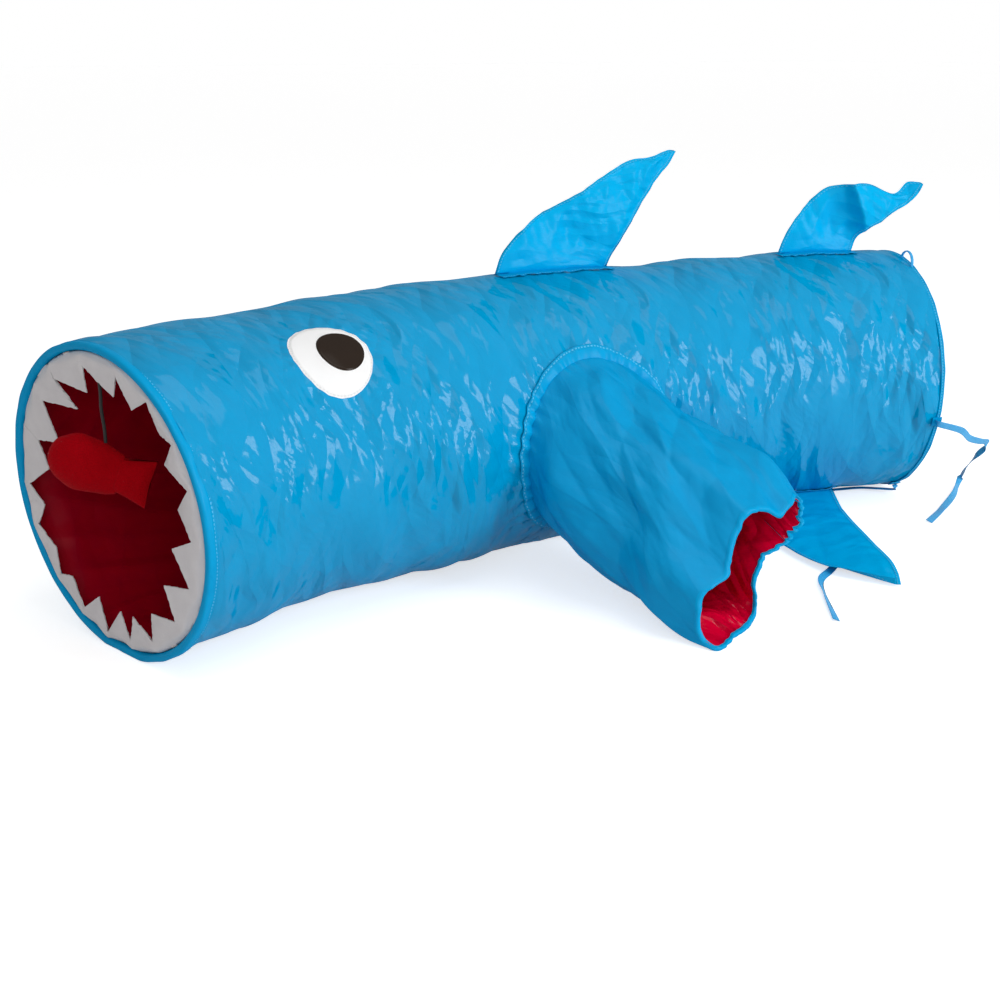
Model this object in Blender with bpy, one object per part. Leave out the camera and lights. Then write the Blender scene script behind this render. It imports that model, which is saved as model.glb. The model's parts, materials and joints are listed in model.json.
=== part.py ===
"""A cat play tunnel shaped like a shark: three cloth panels on four spring hoops, with a mouth of felt
teeth, a hanging toy fish, fins, a side sleeve and ribbon ties. It lies on the floor and bends gently.

Metres, +Z up. The origin is on the floor under the middle of the tunnel. +X runs along the tunnel to its
tail, and the side sleeve leaves on the -Y side, which is called the near side.
"""

import math

import bmesh
import bpy
from mathutils import Vector

# The tube
TUBE_RADIUS = 0.125
TUBE_LENGTH = 0.848
BEND_RADIUS = 1.295
FLAT_DEPTH = 0.002
PANELS = 3
STEPS_PER_PANEL = 3
SEGMENTS = 36

# Cloth layers, from the outside in
GAP = 0.0003
SHELL_WALL = 0.0008
FILM_WALL = 0.0004
LINING_WALL = 0.0006

# Spring hoops and what holds them
WIRE_DIAMETER = 0.0022
WIRE_SIDES = 6
FERRULE_WALL = 0.0004
FERRULE_LENGTH = 0.012
FERRULE_SIDES = 8
CASING_WALL = 0.0006
BINDING_WALL = 0.0008
BINDING_WIDTH = 0.009

# Felt teeth in the mouth
TOOTH_COUNT = 18
TOOTH_TIP_SHARE = 0.20
TEETH_WALL = 0.0012
TEETH_SETBACK = 0.004
TEETH_BAND_WIDTH = 0.0092
TOOTH_LENGTH = 0.0225
TEETH_JOIN_WIDTH = 0.011

# Toy and the string that it hangs on
ANCHOR_ROLL = math.radians(88.0)
ANCHOR_WIDTH = 0.0064
ANCHOR_WALL = 0.0006
ANCHOR_HOLE_RADIUS = 0.0015
ANCHOR_HOLE_SIDES = 12
ANCHOR_HOLE_DEPTH = 0.008
ANCHOR_LENGTH = 0.0115
LOOP_RADIUS = 0.0030
LOOP_STEPS = 16
LOOP_THREAD = 0.0010
THREAD_SIDES = 6
STRING_DIAMETER = 0.0026
STRING_LENGTH = 0.053
FISH_LENGTH = 0.060
FISH_HEIGHT = 0.046
FISH_THICKNESS = 0.027
FISH_PITCH = math.radians(18.0)
FISH_YAW = math.radians(-31.0)
FISH_HANG_SHARE = 0.41
FISH_NOSE_SHARE = 0.015
FISH_CUT_SHARE = 0.72
FISH_BLUNTNESS = 0.72
FISH_FULLNESS = 0.62
FISH_SLIMMING = 0.15
FISH_RINGS = 10
FISH_SIDES = 14
FISH_TAIL_LENGTH = 0.025
FISH_TAIL_HEIGHT = 0.037
FISH_TAIL_THICKNESS = 0.011
FISH_TAIL_ROOT = 0.55
FISH_TAIL_FORK = 0.94
FISH_TAIL_THINNING = 0.6
# Along the fish's tail and up from its middle, as shares of its length and half height
FISH_TAIL_EDGE = [(0.0, FISH_TAIL_ROOT), (0.45, 0.74), (1.0, 1.0), (0.98, 0.45)]
FISH_TAIL_PITCH = math.radians(24.0)

# Sewn patches
PATCH_LIFT = 0.0005
PATCH_WALL = 0.0008
PATCH_SIDES = 20
PUPIL_WALL = 0.0006
EYE_STATION = -0.2554
EYE_ROLL = math.radians(53.0)
EYE_RINGS = 3
EYE_HALF_LENGTH = 0.036
EYE_HALF_HEIGHT = 0.034
PUPIL_STATION = -0.2448
PUPIL_ROLL = math.radians(54.4)
PUPIL_RINGS = 2
PUPIL_HALF_LENGTH = 0.0205
PUPIL_HALF_HEIGHT = 0.0185
FLANGE_WIDTH = 0.012
FLANGE_STEPS = 4

# Fins
FIN_WALL = 0.003
FIN_SEAM_WALL = 0.0006
FIN_TAPER = 0.005
FIN_OUTLINE_STEP = 0.018
FIN_LIFT = 0.0034
DORSAL_STATION = 0.034
DORSAL_BASE = 0.120
DORSAL_FRONT_EDGE = [(-0.052, 0.024), (-0.027, 0.049), (0.018, 0.068), (0.084, 0.099), (0.109, 0.102)]
DORSAL_TIP = [(0.130, 0.107), (0.140, 0.104)]
DORSAL_REAR_EDGE = [(0.115, 0.076), (0.086, 0.041), (0.068, 0.016)]
TAIL_STATION = 0.332
TAIL_BASE = 0.085
TAIL_FRONT_EDGE = [
    (-0.036, 0.018),
    (-0.026, 0.035),
    (0.002, 0.063),
    (0.020, 0.070),
    (0.054, 0.070),
    (0.091, 0.057),
]
TAIL_TIP = [(0.107, 0.069), (0.122, 0.067)]
TAIL_REAR_EDGE = [(0.111, 0.051), (0.077, 0.035), (0.052, 0.021)]
SIDE_STATION = 0.267
SIDE_ROLL = math.radians(-60.0)
SIDE_FIN_WALL = 0.0024
SIDE_FIN_SLOPE = 0.036
SIDE_FIN_COLUMNS = 4
# Distance out from the root seam, then the front and the rear edge along the tunnel
SIDE_FIN_EDGES = [
    (0.000, -0.050, 0.070),
    (0.036, -0.050, 0.060),
    (0.072, -0.046, 0.049),
    (0.104, -0.043, 0.040),
    (0.135, -0.042, 0.031),
    (0.170, -0.036, 0.022),
    (0.196, -0.014, 0.014),
    (0.215, -0.006, 0.004),
]

# Side sleeve
SLEEVE_RADIUS = 0.073
SLEEVE_DROP = 0.006
SLEEVE_REACH = 0.181
SLEEVE_LEAN = 0.30
SLEEVE_WALL = 0.0008
SLEEVE_SIDES = 32
SLEEVE_STEPS = 6
SLEEVE_FOLDS = 7
SLEEVE_FOLD_DEPTH = 0.0035
HOLE_INSET = 0.003
SEAM_BAND = 0.010
HEM_WIDTH = 0.008
# The mouth of the sleeve where it has sunk on the floor: to the right of the seam's centre, and up
SLEEVE_MOUTH = [
    (0.088, 0.064),
    (0.104, 0.098),
    (0.062, 0.100),
    (0.025, 0.086),
    (-0.006, 0.055),
    (-0.014, 0.012),
    (0.010, 0.000),
    (0.044, 0.000),
    (0.053, 0.022),
]

# Ribbon ties and the loop at the tail
TIE_DIAMETER = 0.003
TIE_STEP = 0.009
TIE_LEAD = 0.005
TAB_WALL = 0.0012
TAB_WIDTH = 0.009
TAB_LENGTH = 0.010
NEAR_TIE_ROLL = math.radians(-62.0)
REAR_TIE_ROLL = math.radians(-11.0)
TAIL_LOOP_ROLL = math.radians(74.0)
TAIL_LOOP_RADIUS = 0.011
TAIL_LOOP_THICKNESS = 0.0016
TAIL_LOOP_STEPS = 10
TAIL_LOOP_SIDES = 6
NEAR_TIE_ROUTE = [
    (0.366, -0.1270, 0.0024),
    (0.345, -0.1230, 0.0016),
    (0.316, -0.1340, 0.0016),
    (0.300, -0.1480, 0.0016),
    (0.268, -0.1820, 0.0016),
    (0.224, -0.2170, 0.0016),
    (0.186, -0.2400, 0.0016),
    (0.158, -0.2540, 0.0016),
    (0.137, -0.2800, 0.0016),
    (0.109, -0.3210, 0.0016),
]
REAR_TIE_ROUTE = [
    (0.4080, -0.1880, 0.0850),
    (0.4320, -0.1810, 0.0710),
    (0.4560, -0.1760, 0.0625),
    (0.4720, -0.1720, 0.0580),
    (0.4760, -0.1680, 0.0500),
    (0.4720, -0.1600, 0.0380),
    (0.4750, -0.1470, 0.0190),
    (0.4700, -0.1450, 0.0060),
    (0.4400, -0.1640, 0.0024),
    (0.3920, -0.1880, 0.0017),
    (0.3570, -0.2035, 0.0016),
]

# What follows from the sizes above
AXIS_HEIGHT = TUBE_RADIUS - FLAT_DEPTH
HALF_LENGTH = TUBE_LENGTH / 2
PANEL_LENGTH = TUBE_LENGTH / PANELS
STEPS = PANELS * STEPS_PER_PANEL
STEP_LENGTH = TUBE_LENGTH / STEPS
FERRULE_RADIUS = WIRE_DIAMETER / 2 + GAP + FERRULE_WALL
CHANNEL_HALF = FERRULE_RADIUS + GAP
FILM_RADIUS = TUBE_RADIUS - SHELL_WALL - GAP
LINING_RADIUS = FILM_RADIUS - FILM_WALL - GAP
WIRE_RADIUS = TUBE_RADIUS - SHELL_WALL - GAP - FERRULE_RADIUS
CHANNEL_RADIUS = WIRE_RADIUS - CHANNEL_HALF
BINDING_INNER = CHANNEL_RADIUS - BINDING_WALL
WIRE_SETBACK = BINDING_WALL + CHANNEL_HALF
TOOTH_NOTCH_RADIUS = BINDING_INNER - TEETH_BAND_WIDTH
TOOTH_TIP_RADIUS = TOOTH_NOTCH_RADIUS - TOOTH_LENGTH
HOOP_STATIONS = [-HALF_LENGTH + PANEL_LENGTH * k for k in range(1, PANELS)]
SHARP_EDGE = math.radians(35.0)
UP = Vector((0.0, 0.0, 1.0))
BEND_CENTRE = Vector((0.0, -BEND_RADIUS, 0.0))


def material(name, colour, roughness, metallic=0.0):
    made = bpy.data.materials.new(name)
    made.use_nodes = True
    shader = made.node_tree.nodes["Principled BSDF"]
    shader.inputs["Base Color"].default_value = (*colour, 1.0)
    shader.inputs["Roughness"].default_value = roughness
    shader.inputs["Metallic"].default_value = metallic
    return made


def beside(along, out, height=0.0):
    """The point at a distance along the bent centreline and a distance out from it to the near side.

    The tunnel bends in short straight steps, so that every layer is faceted alike.
    """
    steps = along / STEP_LENGTH + 0.5 * (STEPS % 2)
    whole = math.floor(steps)
    ends = []
    for k in (whole, whole + 1):
        turn = (k - 0.5 * (STEPS % 2)) * STEP_LENGTH / BEND_RADIUS
        ends.append(Vector((math.sin(turn), math.cos(turn), 0.0)) * (BEND_RADIUS - out))
    return ends[0].lerp(ends[1], steps - whole) + BEND_CENTRE + UP * height


def on_tube(along, roll, radius):
    """The point at a distance along the centreline, a roll (0 near side, a quarter turn top), a radius."""
    height = max(AXIS_HEIGHT + radius * math.sin(roll), TUBE_RADIUS - radius)
    return beside(along, radius * math.cos(roll), height)


def axes_at(along):
    """The centreline's point on the floor, its direction to the tail and the direction to the far side."""
    turn = along / BEND_RADIUS
    to_tail = Vector((math.cos(turn), -math.sin(turn), 0.0))
    to_far = Vector((math.sin(turn), math.cos(turn), 0.0))
    return beside(along, 0.0), to_tail, to_far


def on_near_side(right, height, radius):
    """The point of the near side, at a radius of the tube, that lies behind a place in the X-Z plane."""
    roll = math.asin((height - AXIS_HEIGHT) / radius)
    along = right
    for _ in range(8):
        along += right - on_tube(along, roll, radius).x
    return on_tube(along, roll, radius)


def bend_centre():
    """The empty at the centre of the tunnel's bend, about which its hoops and panels fold up."""
    name = "bend_centre"
    if name not in bpy.data.objects:
        empty = bpy.data.objects.new(name, None)
        empty.location = BEND_CENTRE
        bpy.context.collection.objects.link(empty)
    return bpy.data.objects[name]


def place(made, origin):
    """Puts an object at its own joint's origin, or on the tunnel, which folds up about its bend."""
    made.location = origin
    if origin == Vector():
        made.parent = bend_centre()
        made.location = -BEND_CENTRE
    bpy.context.collection.objects.link(made)
    return made


def make(name, vertices, faces, look, origin=None, smooth=True):
    """A mesh object whose faces point out, with its origin at a point if one is given."""
    origin = Vector(origin) if origin is not None else Vector()
    mesh = bpy.data.meshes.new(name)
    mesh.from_pydata([Vector(v) - origin for v in vertices], [], faces)
    grid = bmesh.new()
    grid.from_mesh(mesh)
    bmesh.ops.recalc_face_normals(grid, faces=grid.faces)
    grid.to_mesh(mesh)
    grid.free()
    if smooth:
        mesh.shade_smooth()
        mesh.set_sharp_from_angle(angle=SHARP_EDGE)
    mesh.materials.append(look)
    return place(bpy.data.objects.new(name, mesh), origin)


def ring_faces(rings, sides, closed):
    """Quads between rings of as many points, and the two end faces unless the rings close on themselves."""
    faces = []
    for k in range(rings if closed else rings - 1):
        a, b = k * sides, (k + 1) % rings * sides
        faces += [(a + i, a + (i + 1) % sides, b + (i + 1) % sides, b + i) for i in range(sides)]
    if not closed:
        faces += [tuple(range(sides)), tuple(range((rings - 1) * sides, rings * sides))]
    return faces


def round_the_tube(name, profile, look):
    """A ring round the tube, from a closed profile of (distance along, radius)."""
    rolls = [math.tau * (k / SEGMENTS + 0.25) for k in range(SEGMENTS)]
    vertices = [on_tube(along, roll, radius) for roll in rolls for along, radius in profile]
    return make(name, vertices, ring_faces(SEGMENTS, len(profile), True), look)


def layer_profile(start, end, outer, wall):
    """The profile of a cloth layer between two stations, with points where the tunnel bends."""
    bends = [STEP_LENGTH * k - HALF_LENGTH for k in range(STEPS)]
    alongs = [start, *[bend for bend in bends if start < bend < end], end]
    return [(a, outer) for a in alongs] + [(a, outer - wall) for a in reversed(alongs)]


def between(a, b, c, d, t):
    """The point a share of the way from b to c, on a smooth curve through four points."""
    return 0.5 * (2 * b + (c - a) * t + (2 * a - 5 * b + 4 * c - d) * t**2 + (3 * b - a - 3 * c + d) * t**3)


def smooth_path(points, step):
    """Points about a step apart on a smooth curve through the given ones."""
    points = [Vector(p) for p in points]
    ends = [2 * points[0] - points[1], *points, 2 * points[-1] - points[-2]]
    path = []
    for a, b, c, d in zip(ends, ends[1:], ends[2:], ends[3:]):
        count = max(1, round((c - b).length / step))
        path += [between(a, b, c, d, k / count) for k in range(count)]
    return path + [points[-1]]


def closed_curve(points, count):
    """Points on a smooth closed curve, starting at the first of the given ones."""
    given = len(points)
    curve = []
    for k in range(count):
        first = int(k * given / count)
        four = [Vector(points[(first + j) % given]) for j in (-1, 0, 1, 2)]
        curve.append(between(*four, k * given / count - first))
    return curve


def shells(looks):
    """The outer cloth, the crinkle film and the lining of each panel."""
    channel = CHANNEL_HALF + CASING_WALL
    for k, panel in enumerate(("front", "middle", "rear")):
        start = -HALF_LENGTH + PANEL_LENGTH * k
        end = start + PANEL_LENGTH
        bound = BINDING_WIDTH + GAP
        outer = [start + GAP / 2, end - GAP / 2]
        inner = [start + channel + GAP, end - channel - GAP]
        if k == 0:
            outer[0] = inner[0] = start + bound
        if k == PANELS - 1:
            outer[1] = inner[1] = end - bound
        for layer, ends, radius, wall, look in (
            ("shell", outer, TUBE_RADIUS, SHELL_WALL, looks["blue"]),
            ("film", inner, FILM_RADIUS, FILM_WALL, looks["film"]),
            ("lining", inner, LINING_RADIUS, LINING_WALL, looks["maroon"]),
        ):
            made = round_the_tube(f"{panel}_{layer}", layer_profile(*ends, radius, wall), look)
            if panel == "middle":
                cut_sleeve_hole(made)


def cut_sleeve_hole(layer):
    """Cuts the round hole that the side sleeve leads to."""
    sides = [math.tau * k / SLEEVE_SIDES for k in range(SLEEVE_SIDES)]
    radius = SLEEVE_RADIUS - HOLE_INSET
    height = AXIS_HEIGHT - SLEEVE_DROP
    outside = -(TUBE_RADIUS + radius)
    vertices = [
        (radius * math.cos(a), y, height + radius * math.sin(a)) for y in (outside, 0.0) for a in sides
    ]
    faces = ring_faces(2, SLEEVE_SIDES, False)
    cutter = make(f"{layer.name}_cutter", vertices, faces, layer.data.materials[0])
    cutter.hide_render = True
    cutter.display_type = "WIRE"
    cut = layer.modifiers.new("sleeve_hole", "BOOLEAN")
    cut.operation = "DIFFERENCE"
    cut.solver = "EXACT"
    cut.object = cutter


def hoops(looks):
    """Four hoops of spring wire, the ferrule that closes each, and the casings of the middle two."""
    stations = [-HALF_LENGTH + WIRE_SETBACK, *HOOP_STATIONS, HALF_LENGTH - WIRE_SETBACK]
    for name, station in zip(("mouth", "front", "rear", "tail"), stations):
        wire = [
            (
                station + WIRE_DIAMETER / 2 * math.cos(math.tau * k / WIRE_SIDES),
                WIRE_RADIUS + WIRE_DIAMETER / 2 * math.sin(math.tau * k / WIRE_SIDES),
            )
            for k in range(WIRE_SIDES)
        ]
        round_the_tube(f"{name}_hoop", wire, looks["steel"])
        ferrule(f"{name}_ferrule", station, looks["steel"])
    top = TUBE_RADIUS - SHELL_WALL - GAP
    half = CHANNEL_HALF + CASING_WALL
    for name, station in zip(("front", "rear"), HOOP_STATIONS):
        channel = [
            (station - half, top),
            (station - CHANNEL_HALF, top),
            (station - CHANNEL_HALF, CHANNEL_RADIUS),
            (station + CHANNEL_HALF, CHANNEL_RADIUS),
            (station + CHANNEL_HALF, top),
            (station + half, top),
            (station + half, CHANNEL_RADIUS - CASING_WALL),
            (station - half, CHANNEL_RADIUS - CASING_WALL),
        ]
        round_the_tube(f"{name}_casing", channel, looks["tape"])


def ferrule(name, station, look):
    """A crimped tube over the middle of one straight stretch of the wire's outline, on the far side."""
    before, after = (math.pi - math.tau * k / SEGMENTS for k in (0.0, 1.0))
    a, b = on_tube(station, before, WIRE_RADIUS), on_tube(station, after, WIRE_RADIUS)
    middle, way = (a + b) / 2, (b - a).normalized()
    _, to_tail, _ = axes_at(station)
    outward = way.cross(to_tail).normalized()
    vertices = []
    for radius, ends in ((FERRULE_RADIUS, (-0.5, 0.5)), (WIRE_DIAMETER / 2 + GAP, (0.5, -0.5))):
        for end in ends:
            for k in range(FERRULE_SIDES):
                turn = math.tau * k / FERRULE_SIDES
                side = to_tail * math.cos(turn) + outward * math.sin(turn)
                vertices.append(middle + way * FERRULE_LENGTH * end + side * radius)
    make(name, vertices, ring_faces(4, FERRULE_SIDES, True), look)


def bindings(looks):
    """The bound edges at the mouth and the tail, each folded over its hoop."""
    for name, edge, inward in (("mouth", -HALF_LENGTH, 1.0), ("tail", HALF_LENGTH, -1.0)):
        fold = [
            (0.0, TUBE_RADIUS),
            (BINDING_WIDTH, TUBE_RADIUS),
            (BINDING_WIDTH, TUBE_RADIUS - BINDING_WALL),
            (BINDING_WALL, TUBE_RADIUS - BINDING_WALL),
            (BINDING_WALL, CHANNEL_RADIUS),
            (BINDING_WIDTH, CHANNEL_RADIUS),
            (BINDING_WIDTH, BINDING_INNER),
            (0.0, BINDING_INNER),
        ]
        round_the_tube(f"{name}_binding", [(edge + inward * a, radius) for a, radius in fold], looks["band"])


def teeth(looks):
    """A strip of felt teeth inside the mouth, joined at the top where the toy's tab hangs."""
    outer = BINDING_INNER * math.cos(math.pi / SEGMENTS) - 2 * GAP
    join = TEETH_JOIN_WIDTH / TOOTH_NOTCH_RADIUS
    start = ANCHOR_ROLL + join / 2
    pitch = (math.tau - join) / TOOTH_COUNT
    front = -HALF_LENGTH + TEETH_SETBACK
    inner_edge = []
    for k in range(TOOTH_COUNT):
        inner_edge += [
            (start + pitch * k, TOOTH_NOTCH_RADIUS),
            (start + pitch * (k + (1 - TOOTH_TIP_SHARE) / 2), TOOTH_TIP_RADIUS),
            (start + pitch * (k + (1 + TOOTH_TIP_SHARE) / 2), TOOTH_TIP_RADIUS),
        ]
    inner_edge.append((start + pitch * TOOTH_COUNT, TOOTH_NOTCH_RADIUS))
    count = len(inner_edge)
    vertices = [on_tube(front, roll, radius) for roll, radius in inner_edge]
    vertices += [on_tube(front, roll, outer) for roll, _ in inner_edge]
    vertices += [on_tube(front + TEETH_WALL, roll, outer) for roll, _ in inner_edge]
    vertices += [on_tube(front + TEETH_WALL, roll, radius) for roll, radius in inner_edge]
    faces = []
    for i in range(count - 1):
        for row in range(4):
            a, b = row * count, (row + 1) % 4 * count
            faces.append((a + i, a + i + 1, b + i + 1, b + i))
    faces += [tuple(row * count for row in range(4)), tuple(row * count + count - 1 for row in range(4))]
    make("teeth_ring", vertices, faces, looks["felt"], smooth=False)


def toy(looks):
    """The tab in the mouth's top, the thread loop through it, the string and the stuffed fish."""
    along = -HALF_LENGTH + TEETH_SETBACK + TEETH_WALL / 2
    _, to_tail, to_far = axes_at(along)
    eye = on_tube(along, ANCHOR_ROLL, BINDING_INNER) - UP * ANCHOR_HOLE_DEPTH
    hang = eye - UP * ANCHOR_HOLE_RADIUS
    toy_tab(eye, to_tail, -to_far, looks["felt"])

    # The loop of thread hangs in the tab's hole, on its lower edge
    centre = hang + UP * (GAP + LOOP_THREAD / 2 - LOOP_RADIUS)
    vertices = []
    for k in range(LOOP_STEPS):
        turn = math.tau * k / LOOP_STEPS
        outward = to_tail * math.sin(turn) + UP * math.cos(turn)
        for j in range(THREAD_SIDES):
            around = math.tau * j / THREAD_SIDES
            thread = outward * math.cos(around) - to_far * math.sin(around)
            vertices.append(centre + outward * LOOP_RADIUS + thread * LOOP_THREAD / 2)
    make("toy_loop", vertices, ring_faces(LOOP_STEPS, THREAD_SIDES, True), looks["black"], origin=hang)

    # The string is tied to the bottom of the loop
    knot = centre - UP * LOOP_RADIUS
    string_top = knot - UP * (LOOP_THREAD / 2 + GAP)
    string_end = string_top - UP * STRING_LENGTH
    path = smooth_path([string_top, string_end], STRING_DIAMETER * 3)
    cord("toy_string", path, STRING_DIAMETER, looks["black"], origin=knot)

    # The fish, nose up, turned about the string
    ahead = Vector((math.cos(FISH_YAW), math.sin(FISH_YAW), 0.0))
    across = Vector((-math.sin(FISH_YAW), math.cos(FISH_YAW), 0.0))
    way, back = tilted(ahead, FISH_PITCH)
    stitch = way * FISH_LENGTH * FISH_HANG_SHARE / FISH_CUT_SHARE
    stitch += back * FISH_HEIGHT / 2 * fish_swell(FISH_HANG_SHARE)
    nose = string_end - UP * (GAP + STRING_DIAMETER / 4) - stitch
    stuffed("fish_body", nose, way, back, across, looks["plush"], string_end)
    lean = FISH_TAIL_HEIGHT / 2 * FISH_TAIL_ROOT * math.sin(FISH_TAIL_PITCH - FISH_PITCH)
    root = nose + way * (FISH_LENGTH + GAP + lean)
    fish_tail(root, *tilted(ahead, FISH_TAIL_PITCH), across, looks["plush"], string_end)


def tilted(ahead, pitch):
    """A level direction pitched down, and the direction that was up."""
    return ahead * math.cos(pitch) - UP * math.sin(pitch), ahead * math.sin(pitch) + UP * math.cos(pitch)


def toy_tab(eye, to_tail, to_near, look):
    """A short tape with a round hole, square to the tunnel."""
    hole, rim = [], []
    for k in range(ANCHOR_HOLE_SIDES):
        turn = math.tau * k / ANCHOR_HOLE_SIDES
        x, y = math.cos(turn), math.sin(turn)
        end = ANCHOR_HOLE_DEPTH - 2 * GAP if y > 0 else ANCHOR_LENGTH - ANCHOR_HOLE_DEPTH
        reach = min(ANCHOR_WIDTH / 2 / max(abs(x), GAP), end / max(abs(y), GAP))
        hole.append(to_near * x * ANCHOR_HOLE_RADIUS + UP * y * ANCHOR_HOLE_RADIUS)
        rim.append(to_near * x * reach + UP * y * reach)
    half = to_tail * ANCHOR_WALL / 2
    vertices = []
    for ring, side in ((hole, -half), (rim, -half), (rim, half), (hole, half)):
        vertices += [eye + v + side for v in ring]
    make("toy_tab", vertices, ring_faces(4, ANCHOR_HOLE_SIDES, True), look, smooth=False)


def fish_swell(share):
    """How far the fish swells at a share of its length, blunt at the nose and slim at the tail."""
    if not 0 < share < 1:
        return 0.0
    return math.sin(math.pi * share**FISH_BLUNTNESS) ** FISH_FULLNESS * (1 - FISH_SLIMMING * share)


def stuffed(name, nose, way, up, across, look, origin):
    """The fish's stuffed body: rings that swell and taper, cut square at the tail."""
    vertices = []
    for ring in range(FISH_RINGS):
        share = FISH_NOSE_SHARE + (FISH_CUT_SHARE - FISH_NOSE_SHARE) * ring / (FISH_RINGS - 1)
        centre = nose + way * FISH_LENGTH * share / FISH_CUT_SHARE
        high = up * FISH_HEIGHT / 2 * fish_swell(share)
        wide = across * FISH_THICKNESS / 2 * fish_swell(share)
        for k in range(FISH_SIDES):
            turn = math.tau * k / FISH_SIDES
            vertices.append(centre + high * math.cos(turn) + wide * math.sin(turn))
    make(name, vertices, ring_faces(FISH_RINGS, FISH_SIDES, False), look, origin=origin)


def fish_tail(root, way, up, across, look, origin):
    """The fish's forked tail fin, thin at its rim."""
    lower = [(along, -height) for along, height in reversed(FISH_TAIL_EDGE)]
    outline = [*FISH_TAIL_EDGE, (FISH_TAIL_FORK, 0.0), *lower]
    vertices = []
    for side in (-0.5, 0.5):
        for along, height in outline:
            half = across * FISH_TAIL_THICKNESS * (1.0 - FISH_TAIL_THINNING * along) * side
            rise = up * FISH_TAIL_HEIGHT / 2 * height
            vertices.append(root + way * FISH_TAIL_LENGTH * along + rise + half)
    make("fish_tail", vertices, ring_faces(2, len(outline), False), look, origin=origin)


def stretch(roll):
    """How much shorter the tunnel is at a roll than along its centreline."""
    return 1 - TUBE_RADIUS * math.cos(roll) / BEND_RADIUS


def patch(name, centre, halves, layer, rings, look):
    """An oval patch of cloth that follows the tube.

    It takes its centre as (station, roll), its half length and half height, and its inner and outer radius.
    """
    station, roll = centre
    vertices = []
    for radius in layer:
        vertices.append(on_tube(station, roll, radius))
        for ring in range(1, rings + 1):
            half_length = halves[0] * ring / rings / stretch(roll)
            half_roll = halves[1] * ring / rings / TUBE_RADIUS
            for k in range(PATCH_SIDES):
                turn = math.tau * k / PATCH_SIDES
                along = station + half_length * math.cos(turn)
                vertices.append(on_tube(along, roll + half_roll * math.sin(turn), radius))
    size = 1 + rings * PATCH_SIDES
    faces = []
    for k in range(PATCH_SIDES):
        after = (k + 1) % PATCH_SIDES
        for base in (0, size):
            faces.append((base, base + 1 + k, base + 1 + after))
            for ring in range(rings - 1):
                a = base + 1 + ring * PATCH_SIDES
                b = a + PATCH_SIDES
                faces.append((a + k, b + k, b + after, a + after))
        rim = size - PATCH_SIDES
        faces.append((rim + k, rim + after, size + rim + after, size + rim + k))
    make(name, vertices, faces, look)


def eyes(looks):
    """A white eye patch with a dark pupil on each side of the front panel."""
    white = TUBE_RADIUS + PATCH_LIFT
    dark = white + PATCH_WALL + GAP
    for side, mirrored in (("near", False), ("far", True)):
        eye = (EYE_STATION, math.pi - EYE_ROLL if mirrored else EYE_ROLL)
        pupil = (PUPIL_STATION, math.pi - PUPIL_ROLL if mirrored else PUPIL_ROLL)
        halves = (EYE_HALF_LENGTH, EYE_HALF_HEIGHT)
        patch(f"{side}_eye_white", eye, halves, (white, white + PATCH_WALL), EYE_RINGS, looks["white"])
        halves = (PUPIL_HALF_LENGTH, PUPIL_HALF_HEIGHT)
        patch(f"{side}_eye_pupil", pupil, halves, (dark, dark + PUPIL_WALL), PUPIL_RINGS, looks["pupil"])


def flange(name, station, roll, length, look):
    """The strip along a fin's root that is sewn to the shell."""
    inner = TUBE_RADIUS + PATCH_LIFT
    turn = FLANGE_WIDTH / 2 / TUBE_RADIUS
    section = [(inner, -turn), (inner, 0.0), (inner, turn)]
    section += [(inner + PATCH_WALL, across) for _, across in reversed(section)]
    vertices = []
    for k in range(FLANGE_STEPS + 1):
        along = station + length * (k / FLANGE_STEPS - 0.5) / stretch(roll)
        vertices += [on_tube(along, roll + across, radius) for radius, across in section]
    make(name, vertices, ring_faces(FLANGE_STEPS + 1, len(section), False), look)


def upright_fin(name, station, base, front_edge, tip, rear_edge, look):
    """A flat fin that stands on the tunnel's top, thin at its root seam, with its origin on that seam."""
    foot, to_tail, to_far = axes_at(station)
    foot += UP * (AXIS_HEIGHT + TUBE_RADIUS + PATCH_LIFT + PATCH_WALL + GAP)
    half = base / 2
    lead = [(-half, FIN_TAPER), *front_edge, tip[0]]
    trail = [tip[-1], *rear_edge, (half, FIN_TAPER)]
    outline = []
    for edge in (lead, trail):
        outline += smooth_path([to_tail * x + UP * y for x, y in edge], FIN_OUTLINE_STEP)
    root = [to_tail * half, to_tail * -half]
    vertices = []
    for side in (-0.5, 0.5):
        vertices += [foot + v + to_far * FIN_WALL * side for v in outline]
        vertices += [foot + v + to_far * FIN_SEAM_WALL * side for v in root]
    count = len(outline)
    layer = count + 2
    faces = []
    for first in (0, layer):
        faces.append(tuple(range(first, first + count)))
        faces.append((first + count - 1, first + count, first + count + 1, first))
    faces += [(k, (k + 1) % layer, layer + (k + 1) % layer, layer + k) for k in range(layer)]
    make(name, vertices, faces, look, origin=foot + UP * GAP, smooth=False)


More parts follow.
